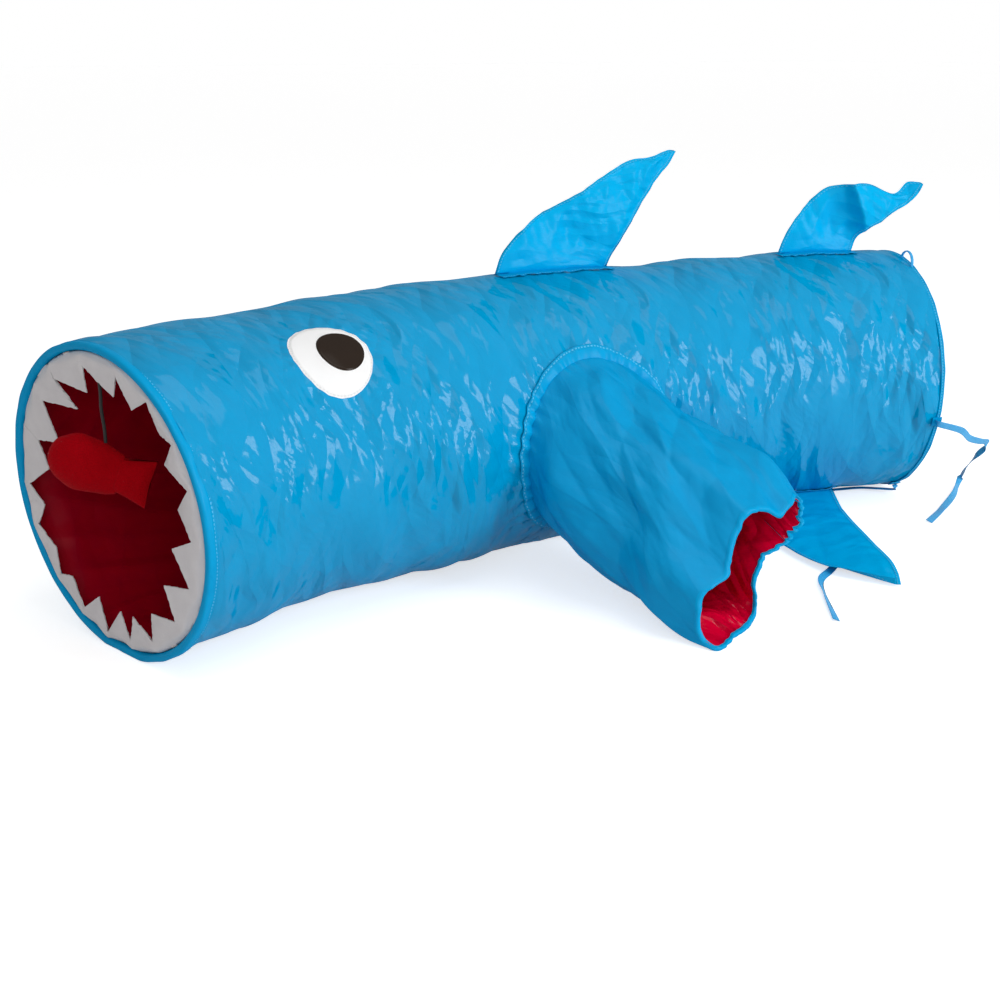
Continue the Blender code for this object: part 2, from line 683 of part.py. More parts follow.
def side_fin(name, mirrored, look):
    """A fin that slopes from its root seam to the floor beside the tunnel and lies there."""
    side = -1.0 if mirrored else 1.0
    root_radius = TUBE_RADIUS + PATCH_LIFT + PATCH_WALL + GAP + FIN_SEAM_WALL
    root_out = root_radius * math.cos(SIDE_ROLL)
    root_height = AXIS_HEIGHT + root_radius * math.sin(SIDE_ROLL)
    flat_height = FIN_LIFT + SIDE_FIN_WALL / 2
    length = SIDE_FIN_EDGES[-1][0]
    settle = length - SIDE_FIN_SLOPE
    vertices = []
    for out, front, rear in SIDE_FIN_EDGES:
        slope = max(0.0, 1 - out / SIDE_FIN_SLOPE)
        sink = max(0.0, (out - settle) / SIDE_FIN_SLOPE)
        middle = flat_height + (root_height - flat_height) * slope - FIN_LIFT * sink
        half = (FIN_SEAM_WALL if out == 0 else SIDE_FIN_WALL) / 2
        reach = side * (root_out + out)
        alongs = [front + (rear - front) * k / SIDE_FIN_COLUMNS for k in range(SIDE_FIN_COLUMNS + 1)]
        shorter = 1 - reach / BEND_RADIUS
        for height, row in ((-half, alongs), (half, list(reversed(alongs)))):
            vertices += [beside(SIDE_STATION + a / shorter, reach, middle + height) for a in row]
    root = beside(SIDE_STATION, side * root_out, root_height)
    sides = 2 * (SIDE_FIN_COLUMNS + 1)
    faces = ring_faces(len(SIDE_FIN_EDGES), sides, False)[:-2]
    for first in (0, len(vertices) - sides):
        last = first + sides - 1
        faces += [(first + k, first + k + 1, last - k - 1, last - k) for k in range(SIDE_FIN_COLUMNS)]
    make(name, vertices, faces, look, origin=root, smooth=False)


def fins(looks):
    """The four fins, each on the strip that is sewn to the shell."""
    quarter = math.pi / 2
    for fin, station, base, *edges in (
        ("dorsal", DORSAL_STATION, DORSAL_BASE, DORSAL_FRONT_EDGE, DORSAL_TIP, DORSAL_REAR_EDGE),
        ("tail", TAIL_STATION, TAIL_BASE, TAIL_FRONT_EDGE, TAIL_TIP, TAIL_REAR_EDGE),
    ):
        flange(f"{fin}_flange", station, quarter, base, looks["band"])
        upright_fin(f"{fin}_fin", station, base, *edges, looks["satin"])
    _, front, rear = SIDE_FIN_EDGES[0]
    for side, mirrored in (("near", False), ("far", True)):
        roll = math.pi - SIDE_ROLL if mirrored else SIDE_ROLL
        flange(f"{side}_side_flange", SIDE_STATION + (front + rear) / 2, roll, rear - front, looks["band"])
        side_fin(f"{side}_side_fin", mirrored, looks["satin"])


def seam_circle(radius, lift):
    """Points of a circle round the sleeve's seam, laid on the near side of the tube."""
    height = AXIS_HEIGHT - SLEEVE_DROP
    points = []
    for k in range(SLEEVE_SIDES):
        turn = math.tau * k / SLEEVE_SIDES
        right, rise = radius * math.cos(turn), radius * math.sin(turn)
        points.append(on_near_side(right, height + rise, TUBE_RADIUS + lift))
    return points


def sleeve_rings(shares):
    """The sleeve's outer face as rings, from its seam at share 0 to its mouth at share 1."""
    start = seam_circle(SLEEVE_RADIUS, PATCH_LIFT)
    reach = TUBE_RADIUS + SLEEVE_REACH
    mouth = [Vector((x, SLEEVE_LEAN * z - reach, z)) for x, z in closed_curve(SLEEVE_MOUTH, SLEEVE_SIDES)]
    rings = []
    for share in shares:
        ring = []
        for k, (a, b) in enumerate(zip(start, mouth)):
            turn = math.tau * k / SLEEVE_SIDES
            outward = Vector((math.cos(turn), 0.0, math.sin(turn)))
            fold = SLEEVE_FOLD_DEPTH * math.sin(math.pi * min(share, 1.0)) * math.cos(SLEEVE_FOLDS * turn)
            point = a.lerp(b, share) + outward * fold
            point.z = max(point.z, 0.0)
            ring.append(point)
        rings.append(ring)
    return rings


def layer_of(rings, inset, wall, seated):
    """Vertices of a cloth layer under a surface of rings: its outer face and, back again, its inner one.

    A seated layer starts on the shell, so its first ring is inset along the shell.
    """
    count, sides = len(rings), len(rings[0])
    outer, inner = [], []
    for k in range(count):
        for i in range(sides):
            along = rings[min(k + 1, count - 1)][i] - rings[max(k - 1, 0)][i]
            around = rings[k][(i + 1) % sides] - rings[k][i - 1]
            normal = around.cross(along).normalized()
            outer.append(rings[k][i] - normal * inset)
            inner.append(rings[k][i] - normal * (inset + wall))
    if seated:
        outer[:sides] = seam_circle(SLEEVE_RADIUS - inset, PATCH_LIFT)
        inner[:sides] = seam_circle(SLEEVE_RADIUS - inset - wall, PATCH_LIFT)
    back = [inner[(count - 1 - k) * sides + i] for k in range(count) for i in range(sides)]
    return outer + back


def layer_faces(count, sides):
    """Triangles for a layer made by layer_of, split alike on both faces, so that layers stay parallel."""
    faces = []
    for k in range(2 * count):
        after = (k + 1) % (2 * count)
        for i in range(sides):
            j = (i + 1) % sides
            a, b, c, d = k * sides + i, k * sides + j, after * sides + j, after * sides + i
            faces += [(a, b, c), (a, c, d)] if k < count else [(a, b, d), (b, c, d)]
    return faces


def sleeve(looks):
    """The side sleeve: its seam band on the shell, its cloth, its lining and its hem."""
    # The band round the hole
    band = []
    for radius, lift in (
        (SLEEVE_RADIUS + 2 * GAP, PATCH_LIFT),
        (SLEEVE_RADIUS + SEAM_BAND, PATCH_LIFT),
        (SLEEVE_RADIUS + SEAM_BAND, PATCH_LIFT + PATCH_WALL),
        (SLEEVE_RADIUS + 2 * GAP, PATCH_LIFT + PATCH_WALL),
    ):
        band += seam_circle(radius, lift)
    make("sleeve_band", band, ring_faces(4, SLEEVE_SIDES, True), looks["band"])

    # The cloth, its lining and the hem lift together about the middle of the seam
    root = on_near_side(0.0, AXIS_HEIGHT - SLEEVE_DROP, TUBE_RADIUS + PATCH_LIFT)
    inset = SLEEVE_WALL + GAP
    rings = sleeve_rings([k / SLEEVE_STEPS for k in range(SLEEVE_STEPS + 1)])
    faces = layer_faces(len(rings), SLEEVE_SIDES)
    make("sleeve_cloth", layer_of(rings, 0.0, SLEEVE_WALL, True), faces, looks["sleeve"], origin=root)
    make("sleeve_lining", layer_of(rings, inset, LINING_WALL, True), faces, looks["red"], origin=root)
    rings = sleeve_rings([1 + 2 * GAP / SLEEVE_REACH, 1 + (2 * GAP + HEM_WIDTH) / SLEEVE_REACH])
    faces = layer_faces(len(rings), SLEEVE_SIDES)
    make("sleeve_hem", layer_of(rings, 0.0, inset + LINING_WALL, False), faces, looks["sleeve"], origin=root)


def cord(name, path, diameter, look, origin=None):
    """A round cord along a path, with its origin at a point if one is given."""
    origin = Vector(origin) if origin is not None else Vector()
    curve = bpy.data.curves.new(name, "CURVE")
    curve.dimensions = "3D"
    curve.bevel_depth = diameter / 2
    curve.bevel_resolution = 2
    curve.use_fill_caps = True
    line = curve.splines.new("POLY")
    line.points.add(len(path) - 1)
    for point, spot in zip(line.points, path):
        point.co = (*(spot - origin), 1.0)
    curve.materials.append(look)
    return place(bpy.data.objects.new(name, curve), origin)


def tab(name, roll, look):
    """A short folded tab on the tail binding. Returns the first two points of the ribbon that leaves it."""
    station = HALF_LENGTH - BINDING_WIDTH / 2
    turn = TAB_WIDTH / 2 / TUBE_RADIUS
    vertices = []
    for end in (-0.5, 0.5):
        along = station + TAB_LENGTH * end / stretch(roll)
        for lift, across in ((0.0, -turn), (0.0, turn), (TAB_WALL, turn), (TAB_WALL, -turn)):
            vertices.append(on_tube(along, roll + across, TUBE_RADIUS + PATCH_LIFT + lift))
    make(name, vertices, ring_faces(2, 4, False), look, smooth=False)
    face = TUBE_RADIUS + PATCH_LIFT + TAB_WALL + GAP
    return [on_tube(station, roll, face), on_tube(station, roll, face + TIE_LEAD)]


def ties(looks):
    """Two ribbon ties that lie on the floor by the tail, and a short loop of ribbon on the tail hoop."""
    for name, roll, route in (
        ("near", NEAR_TIE_ROLL, NEAR_TIE_ROUTE),
        ("rear", REAR_TIE_ROLL, REAR_TIE_ROUTE),
    ):
        leave = tab(f"{name}_tie_tab", roll, looks["band"])
        cord(f"{name}_tie", smooth_path([*leave, *route], TIE_STEP), TIE_DIAMETER, looks["ribbon"])
    tail_loop(looks["ribbon"])


def tail_loop(look):
    """A half round of ribbon that stands on the tail binding."""
    station = HALF_LENGTH - BINDING_WIDTH / 2
    _, to_tail, _ = axes_at(station)
    spread = math.asin(TAIL_LOOP_RADIUS / TUBE_RADIUS)
    feet = [on_tube(station, TAIL_LOOP_ROLL + spread * s, TUBE_RADIUS) for s in (-1.0, 1.0)]
    way = (feet[1] - feet[0]).normalized()
    out = to_tail.cross(way).normalized()
    base = (feet[0] + feet[1]) / 2 + out * 2 * GAP
    half = TAIL_LOOP_THICKNESS / 2
    vertices = []
    for k in range(TAIL_LOOP_STEPS + 1):
        turn = math.pi * k / TAIL_LOOP_STEPS
        outward = out * math.sin(turn) - way * math.cos(turn)
        for j in range(TAIL_LOOP_SIDES):
            around = math.tau * j / TAIL_LOOP_SIDES
            section = outward * half * math.cos(around) + to_tail * 2 * half * math.sin(around)
            vertices.append(base + outward * TAIL_LOOP_RADIUS + section)
    make("tail_loop", vertices, ring_faces(TAIL_LOOP_STEPS + 1, TAIL_LOOP_SIDES, False), look)


def main():
    for old in list(bpy.data.objects):
        bpy.data.objects.remove(old)
    looks = {
        "blue": material("blue_cloth", (0.0, 0.30, 0.62), 0.35),
        "satin": material("blue_satin", (0.0, 0.41, 0.85), 0.45),
        "band": material("blue_band", (0.0, 0.34, 0.68), 0.5),
        "sleeve": material("blue_sleeve", (0.0, 0.28, 0.58), 0.6),
        "ribbon": material("blue_ribbon", (0.02, 0.37, 0.75), 0.5),
        "film": material("crinkle_film", (0.85, 0.85, 0.85), 0.3),
        "maroon": material("maroon_lining", (0.17, 0.0, 0.006), 0.6),
        "red": material("red_lining", (0.50, 0.0, 0.016), 0.4),
        "tape": material("maroon_tape", (0.14, 0.0, 0.006), 0.7),
        "steel": material("spring_steel", (0.55, 0.55, 0.56), 0.35, 1.0),
        "felt": material("white_felt", (0.72, 0.70, 0.66), 0.8),
        "white": material("eye_white", (0.85, 0.85, 0.83), 0.5),
        "pupil": material("eye_pupil", (0.02, 0.012, 0.01), 0.2),
        "black": material("black_string", (0.01, 0.01, 0.01), 0.8),
        "plush": material("red_plush", (0.33, 0.0, 0.004), 0.9),
    }
    shells(looks)
    hoops(looks)
    bindings(looks)
    teeth(looks)
    toy(looks)
    eyes(looks)
    fins(looks)
    sleeve(looks)
    ties(looks)


main()
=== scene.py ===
"""The looks of a cat play tunnel shaped like a shark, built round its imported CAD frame.

Every soft piece is a fine mesh that a surface function lays in the place of its plain solid: crumpled cloth
on four hoops, a ring of felt teeth, a plush fish on a string, sewn fins, a limp side sleeve and ribbon ties.
Lengths are in metres. The tunnel runs along +X from its mouth to its tail, and -Y is the near side.
"""

import json
import logging
import math
from contextlib import contextmanager
from dataclasses import dataclass
from enum import Enum
from typing import Callable, Iterator, Sequence

import bmesh
import bpy
import numpy as np
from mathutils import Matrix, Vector


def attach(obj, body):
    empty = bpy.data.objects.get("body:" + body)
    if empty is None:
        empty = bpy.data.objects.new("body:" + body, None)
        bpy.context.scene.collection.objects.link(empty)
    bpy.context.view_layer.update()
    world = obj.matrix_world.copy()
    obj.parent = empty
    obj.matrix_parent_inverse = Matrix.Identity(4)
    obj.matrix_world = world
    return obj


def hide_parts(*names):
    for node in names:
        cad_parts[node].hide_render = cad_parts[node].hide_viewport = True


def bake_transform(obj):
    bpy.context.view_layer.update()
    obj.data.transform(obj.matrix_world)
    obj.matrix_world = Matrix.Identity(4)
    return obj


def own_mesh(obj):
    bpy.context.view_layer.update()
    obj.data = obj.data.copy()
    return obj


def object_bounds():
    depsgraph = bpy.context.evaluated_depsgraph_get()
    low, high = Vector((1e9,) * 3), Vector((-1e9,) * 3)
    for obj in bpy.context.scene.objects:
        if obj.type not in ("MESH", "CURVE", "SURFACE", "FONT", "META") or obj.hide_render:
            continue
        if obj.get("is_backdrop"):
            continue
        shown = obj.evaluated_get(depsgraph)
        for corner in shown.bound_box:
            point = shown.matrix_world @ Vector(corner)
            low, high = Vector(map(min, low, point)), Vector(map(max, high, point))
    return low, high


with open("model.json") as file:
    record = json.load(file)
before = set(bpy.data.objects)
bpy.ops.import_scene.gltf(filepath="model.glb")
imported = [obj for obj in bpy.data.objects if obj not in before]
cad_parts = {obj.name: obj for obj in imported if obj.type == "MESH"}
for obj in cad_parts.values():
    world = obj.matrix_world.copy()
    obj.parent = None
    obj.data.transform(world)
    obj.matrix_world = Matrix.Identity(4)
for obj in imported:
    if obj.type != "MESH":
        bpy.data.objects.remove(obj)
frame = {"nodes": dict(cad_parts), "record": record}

LOG = logging.getLogger("tunnel")
QUARTER = math.pi / 2
WHITE = (1.0, 1.0, 1.0, 1.0)
# Half of the tunnel's length
HALF = 0.424
# The turn over which the two ends of a round cloth's pattern pass into each other
JOIN = 0.5
# The distance from the axis at which places on the near side are looked up
NEAR_SIDE = 0.122
# Points of a grid closer than the first are one, and edges shorter than the second are none
MERGED, NOTHING = 1e-6, 1e-7
# Points on each edge of a fin
EDGE_POINTS = 60
Colour = tuple[float, float, float]
Point = tuple[float, float, float]
Array = np.ndarray
Surface = Callable[[Array, Array], Array]


class Slot(str, Enum):
    """The record's material slots."""

    CLOTH = "blue_cloth"
    SATIN = "blue_satin"
    BAND = "blue_band"
    SLEEVE = "blue_sleeve"
    RIBBON = "blue_ribbon"
    FILM = "crinkle_film"
    LINING = "maroon_lining"
    RED = "red_lining"
    TAPE = "maroon_tape"
    STEEL = "spring_steel"
    FELT = "white_felt"
    EYE_WHITE = "eye_white"
    PUPIL = "eye_pupil"
    STRING = "black_string"
    PLUSH = "red_plush"


# Noise and curves


def hashed(i: Array, j: Array, seed: int) -> Array:
    """A fixed random value from -1 to 1 for each cell.

    Args:
        i: the cells' columns.
        j: the cells' rows.
        seed: picks the pattern.

    Returns:
        One value for each cell.
    """
    mask = 0xFFFFFFFF
    mixed = (i.astype(np.int64) * 374761393 + j.astype(np.int64) * 668265263 + seed * 362437) & mask
    mixed = ((mixed ^ (mixed >> 13)) * 1274126177) & mask
    return ((mixed ^ (mixed >> 16)) & 0xFFFF) / 32767.5 - 1.0


def soft_step(x: Array, low: float, high: float) -> Array:
    """A smooth step from 0 at low to 1 at high."""
    share = np.clip((x - low) / (high - low), 0.0, 1.0)
    return share * share * (3 - 2 * share)


def smooth_noise(x: Array, y: Array, seed: int) -> Array:
    """Smooth noise from -1 to 1 on a lattice of unit cells.

    Args:
        x: places across the lattice.
        y: places along the lattice.
        seed: picks the pattern.

    Returns:
        One value for each place.
    """
    i, j = np.floor(x), np.floor(y)
    fx, fy = soft_step(x - i, 0.0, 1.0), soft_step(y - j, 0.0, 1.0)
    low = hashed(i, j, seed) * (1 - fx) + hashed(i + 1, j, seed) * fx
    high = hashed(i, j + 1, seed) * (1 - fx) + hashed(i + 1, j + 1, seed) * fx
    return low * (1 - fy) + high * fy


def facets(x: Array, y: Array, seed: int) -> Array:
    """Heights from -1 to 1 that are flat over triangles, as in crumpled cloth.

    Args:
        x: places across a lattice of unit cells.
        y: places along it.
        seed: picks the pattern.

    Returns:
        One height for each place.
    """
    i, j = np.floor(x), np.floor(y)
    fx, fy = x - i, y - j
    a, b = hashed(i, j, seed), hashed(i + 1, j, seed)
    d, c = hashed(i, j + 1, seed), hashed(i + 1, j + 1, seed)
    rising = np.where(fx > fy, a + (b - a) * fx + (c - b) * fy, a + (c - d) * fx + (d - a) * fy)
    falling = np.where(
        fx + fy < 1, a + (b - a) * fx + (d - a) * fy, c + (d - c) * (1 - fx) + (b - c) * (1 - fy)
    )
    return np.where(hashed(i, j, seed + 77) > 0, rising, falling)


def cones(x: Array, y: Array, seed: int) -> Array:
    """Heights from about -1 to 1 that rise as cones round scattered points and meet in sharp valleys.

    Args:
        x: places across a lattice with one point in each unit cell.
        y: places along it.
        seed: picks the pattern.

    Returns:
        One height for each place.
    """
    i, j = np.floor(x), np.floor(y)
    nearest = np.full(np.shape(x), 9.0)
    for right in (-1, 0, 1):
        for up in (-1, 0, 1):
            a, b = i + right, j + up
            dx = a + 0.5 + 0.42 * hashed(a, b, seed) - x
            dy = b + 0.5 + 0.42 * hashed(a, b, seed + 9) - y
            nearest = np.minimum(nearest, dx * dx + dy * dy)
    return 1 - 2.2 * np.sqrt(nearest + 0.01)


class Fold(Enum):
    """How a layer of folds is shaped."""

    SOFT = "soft waves"
    RIDGE = "hollows between sharp ridges"
    VALLEY = "swells between sharp valleys"
    FACET = "flat facets"


@dataclass(frozen=True)
class Creases:
    """One layer of creases: long folds that lean over the cloth.

    Attributes:
        fold: their shape.
        width: across a facet.
        length: along a facet.
        height: the most that the cloth rises or sinks.
        lean: how far the facets lean from upright, in radians.
        wander: how far their lines stray.
        seed: picks the pattern.
    """

    fold: Fold
    width: float
    length: float
    height: float
    lean: float
    wander: float
    seed: int

    def __call__(self, s: Array, t: Array) -> Array:
        """The height of the layer.

        Args:
            s: places along the cloth.
            t: places up the cloth.

        Returns:
            One height for each place.
        """
        reach = 5 * self.width
        s2 = s + self.wander * smooth_noise(s / reach, t / reach, self.seed + 1)
        t2 = t + self.wander * smooth_noise(s / reach, t / reach, self.seed + 2)
        across = (s2 * math.cos(self.lean) + t2 * math.sin(self.lean)) / self.width
        along = (t2 * math.cos(self.lean) - s2 * math.sin(self.lean)) / self.length
        if self.fold is Fold.FACET:
            return self.height * facets(across, along, self.seed)
        if self.fold is Fold.SOFT:
            return self.height * smooth_noise(across, along, self.seed)
        height = self.height * cones(across, along, self.seed)
        return height if self.fold is Fold.VALLEY else -height


def meeting(layers: Sequence[Creases], s: Array, t: Array, joined: Array, once: tuple[float, float]) -> Array:
    """Adds up layers of creases so that their pattern meets where a round cloth closes.

    Args:
        layers: the layers.
        s: places along the cloth.
        t: places up the cloth.
        joined: 0 at the line where it closes, rising to 1 beyond it.
        once: how far it is once round, in s and in t.

    Returns:
        One height for each place.
    """
    return sum(joined * layer(s, t) + (1 - joined) * layer(s + once[0], t + once[1]) for layer in layers)


def smooth_curve(points: Sequence[Sequence[float]], count: int) -> Array:
    """Points evenly spaced on a smooth curve through the given ones.

    Args:
        points: the points that the curve passes.
        count: how many to return.

    Returns:
        An array of points.
    """
    given = np.array(points, float)
    ends = np.vstack([2 * given[0] - given[1], given, 2 * given[-1] - given[-2]])
    share = np.linspace(0.0, 1.0, 16, endpoint=False)[:, None]
    fine = [
        0.5 * (2 * b + (c - a) * share + (2 * a - 5 * b + 4 * c - d) * share**2
               + (3 * b - a - 3 * c + d) * share**3)
        for a, b, c, d in zip(ends, ends[1:], ends[2:], ends[3:])
    ]
    line = np.vstack([*fine, ends[-2]])
    run = np.concatenate([[0.0], np.cumsum(np.linalg.norm(np.diff(line, axis=0), axis=1))])
    wanted = np.linspace(0.0, run[-1], count)
    return np.stack([np.interp(wanted, run, line[:, k]) for k in range(line.shape[1])], -1)


def along_curve(curve: Array, share: Array) -> Array:
    """The points at shares from 0 to 1 of a curve's run."""
    spots = np.linspace(0.0, 1.0, len(curve))
    return np.stack([np.interp(share, spots, curve[:, k]) for k in range(curve.shape[1])], -1)


def line_length(line: Array) -> float:
    """The length of a line of points."""
    return float(np.sum(np.linalg.norm(np.diff(line, axis=0), axis=1)))


# Meshes


@contextmanager
def reshaped(mesh: bpy.types.Mesh) -> Iterator[bmesh.types.BMesh]:
    """Opens a mesh for bmesh operators, and writes it back after them.

    Args:
        mesh: the mesh.

    Yields:
        Its open form.
    """
    cloth = bmesh.new()
    cloth.from_mesh(mesh)
    yield cloth
    cloth.to_mesh(mesh)
    cloth.free()


def placed(name: str, data: bpy.types.ID) -> bpy.types.Object:
    """Puts a mesh, a curve, a lamp or a camera into the scene.

    Args:
        name: the new object's name.
        data: what it holds.

    Returns:
        The object.
    """
    thing = bpy.data.objects.new(name, data)
    bpy.context.scene.collection.objects.link(thing)
    return thing


def hemmed(share: Array, steps: int) -> Array:
    """Draws the outermost rows of a grid out to its very edge, so that a wall's edge shades crisply.

    Args:
        share: places across the grid, from 0 to 1.
        steps: how many steps it has.

    Returns:
        The new places.
    """
    inner = np.clip((share * steps - 1) / (steps - 2), 0.0, 1.0)
    edge = 0.04 / steps
    drawn = edge + (1 - 2 * edge) * inner
    return np.where(share < 0.5 / steps, 0.0, np.where(share > 1 - 0.5 / steps, 1.0, drawn))


def grid_piece(
    name: str,
    columns: int,
    rows: int,
    surface: Surface,
    size: tuple[float, float],
    seam: Surface | None = None,
    cut: Callable[[Array], Array] | None = None,
    flip: bool = False,
    hems: str = "",
) -> bpy.types.Object:
    """A piece made from a flat grid that a surface function lays in place.

    Args:
        name: the piece's name.
        columns: steps of the grid in u.
        rows: steps of the grid in v.
        surface: gives a point for each u and v from 0 to 1.
        size: the cloth's width and length, for the piece's UV map in metres.
        seam: gives the run along and the distance from the sewn edge, for stitches.
        cut: says for each point whether the cloth is cut away there.
        flip: turns the faces round.
        hems: the directions, u or v, that end in an open edge.

    Returns:
        The piece, with doubled points merged.
    """
    mesh = bpy.data.meshes.new(name)
    with reshaped(mesh) as grid:
        bmesh.ops.create_grid(grid, x_segments=columns, y_segments=rows, size=0.5)
    flat = np.empty(len(mesh.vertices) * 3)
    mesh.vertices.foreach_get("co", flat)
    u, v = flat.reshape(-1, 3)[:, 0] + 0.5, flat.reshape(-1, 3)[:, 1] + 0.5
    u = hemmed(u, columns) if "u" in hems else u
    v = hemmed(v, rows) if "v" in hems else v
    points = surface(u, v)
    mesh.vertices.foreach_set("co", points.astype(np.float32).ravel())
    corners = np.empty(len(mesh.loops), np.int32)
    mesh.loops.foreach_get("vertex_index", corners)
    maps = {"UVMap": np.stack([u * size[0], v * size[1]], -1)}
    if seam:
        maps["Seam"] = seam(u, v)
    for label, values in maps.items():
        layer = mesh.uv_layers.new(name=label)
        layer.data.foreach_set("uv", values[corners].astype(np.float32).ravel())
    with reshaped(mesh) as cloth:
        if cut is not None:
            gone = cut(points)
            doomed = [face for face in cloth.faces if all(gone[vert.index] for vert in face.verts)]
            bmesh.ops.delete(cloth, geom=doomed, context="FACES")
        bmesh.ops.remove_doubles(cloth, verts=cloth.verts, dist=MERGED)
        bmesh.ops.dissolve_degenerate(cloth, edges=cloth.edges, dist=NOTHING)
        if flip:
            bmesh.ops.reverse_faces(cloth, faces=cloth.faces)
    mesh.shade_smooth()
    return placed(name, mesh)


def close(piece: bpy.types.Object, merge: float = 0.0, fill: bool = True) -> None:
    """Closes a piece that is solid or stuffed, and turns its faces out.

    Args:
        piece: the piece.
        merge: the distance under which its points become one, or 0.
        fill: whether its open ends are filled.
    """
    with reshaped(piece.data) as mesh:
        if merge:
            bmesh.ops.remove_doubles(mesh, verts=mesh.verts, dist=merge)
        if fill:
            bmesh.ops.holes_fill(mesh, edges=mesh.edges, sides=0)
        bmesh.ops.recalc_face_normals(mesh, faces=mesh.faces)
    piece.data.shade_smooth()


def thicken(piece: bpy.types.Object, wall: float, offset: float = -1.0) -> bpy.types.Object:
    """Gives a cloth its thickness.

    Args:
        piece: the cloth.
        wall: its thickness.
        offset: -1 to thicken it inwards, and 0 to both sides.

    Returns:
        The piece.
    """
    solid = piece.modifiers.new("wall", "SOLIDIFY")
    solid.thickness = wall
    solid.offset = offset
    return piece


# Materials


class Graph:
    """Adds nodes to a node tree and links them."""

    def __init__(self, tree: bpy.types.NodeTree) -> None:
        """Takes the tree that the nodes go into."""
        self.tree = tree

    def feed(self, node: bpy.types.Node, ins: dict) -> None:
        """Gives a node's inputs their values, or links them.

        Args:
            node: the node.
            ins: values or sockets for its inputs.
        """
        for key, value in ins.items():
            if isinstance(value, bpy.types.NodeSocket):
                self.tree.links.new(value, node.inputs[key])
            else:
                node.inputs[key].default_value = value

    def add(self, kind: str, ins: dict | None = None, **settings: object) -> bpy.types.Node:
        """Adds a node.

        Args:
            kind: the node's type, without its ShaderNode prefix.
            ins: values or sockets for the node's inputs.
            settings: the node's own properties.

        Returns:
            The new node.
        """
        node = self.tree.nodes.new("NodeGroupOutput" if kind == "Output" else f"ShaderNode{kind}")
        for key, value in settings.items():
            setattr(node, key, value)
        self.feed(node, ins or {})
        return node

    def math(self, operation: str, *values: object, clamp: bool = False) -> bpy.types.NodeSocket:
        """The result of a math node."""
        return self.add("Math", dict(enumerate(values)), operation=operation, use_clamp=clamp).outputs[0]

    def turned(self, vector: object, turn: float, across: float, along: float) -> bpy.types.NodeSocket:
        """A flat vector in axes that lean by a turn, scaled across and along them."""
        settings = {"Vector": vector, "Scale": (1 / across, 1 / along, 1.0), "Rotation": (0.0, 0.0, turn)}
        return self.add("Mapping", settings, vector_type="TEXTURE").outputs[0]

    def blend(self, factor: object, a: object, b: object) -> bpy.types.NodeSocket:
        """A colour mixed from two."""
        return self.add("Mix", {0: factor, 6: a, 7: b}, data_type="RGBA").outputs[2]

    def scaled(self, vector: object, factor: object) -> bpy.types.NodeSocket:
        """A vector times a number."""
        return self.add("VectorMath", {0: vector, "Scale": factor}, operation="SCALE").outputs[0]

    def noise(self, vector: object, scale: float, detail: float, twist: float = 0.0
              ) -> bpy.types.bpy_prop_collection:
        """The outputs of a noise."""
        ins = {"Vector": vector, "Scale": scale, "Detail": detail, "Distortion": twist}
        return self.add("TexNoise", ins).outputs

    def effect(self, name: str, vector: object, **values: float) -> bpy.types.bpy_prop_collection:
        """The outputs of an effect's group, placed with its own values."""
        return self.add("Group", {"Vector": vector, **values}, node_tree=Effect.group(name)).outputs

    def seen(self) -> bpy.types.NodeSocket:
        """What the camera sees, straight, in a mirror or through glass.

        Returns:
            1 for it, and otherwise 0.
        """
        rays = self.add("LightPath").outputs
        straight = self.math("ADD", rays["Is Camera Ray"], rays["Is Glossy Ray"])
        return self.math("ADD", straight, rays["Is Transmission Ray"], clamp=True)


def unfinished(name: str) -> tuple[bpy.types.Material, Graph, bpy.types.Node]:
    """Starts a material.

    Args:
        name: the material's name.

    Returns:
        The material, its graph and its shader.
    """
    made = bpy.data.materials.new(name)
    made.use_nodes = True
    return made, Graph(made.node_tree), made.node_tree.nodes["Principled BSDF"]


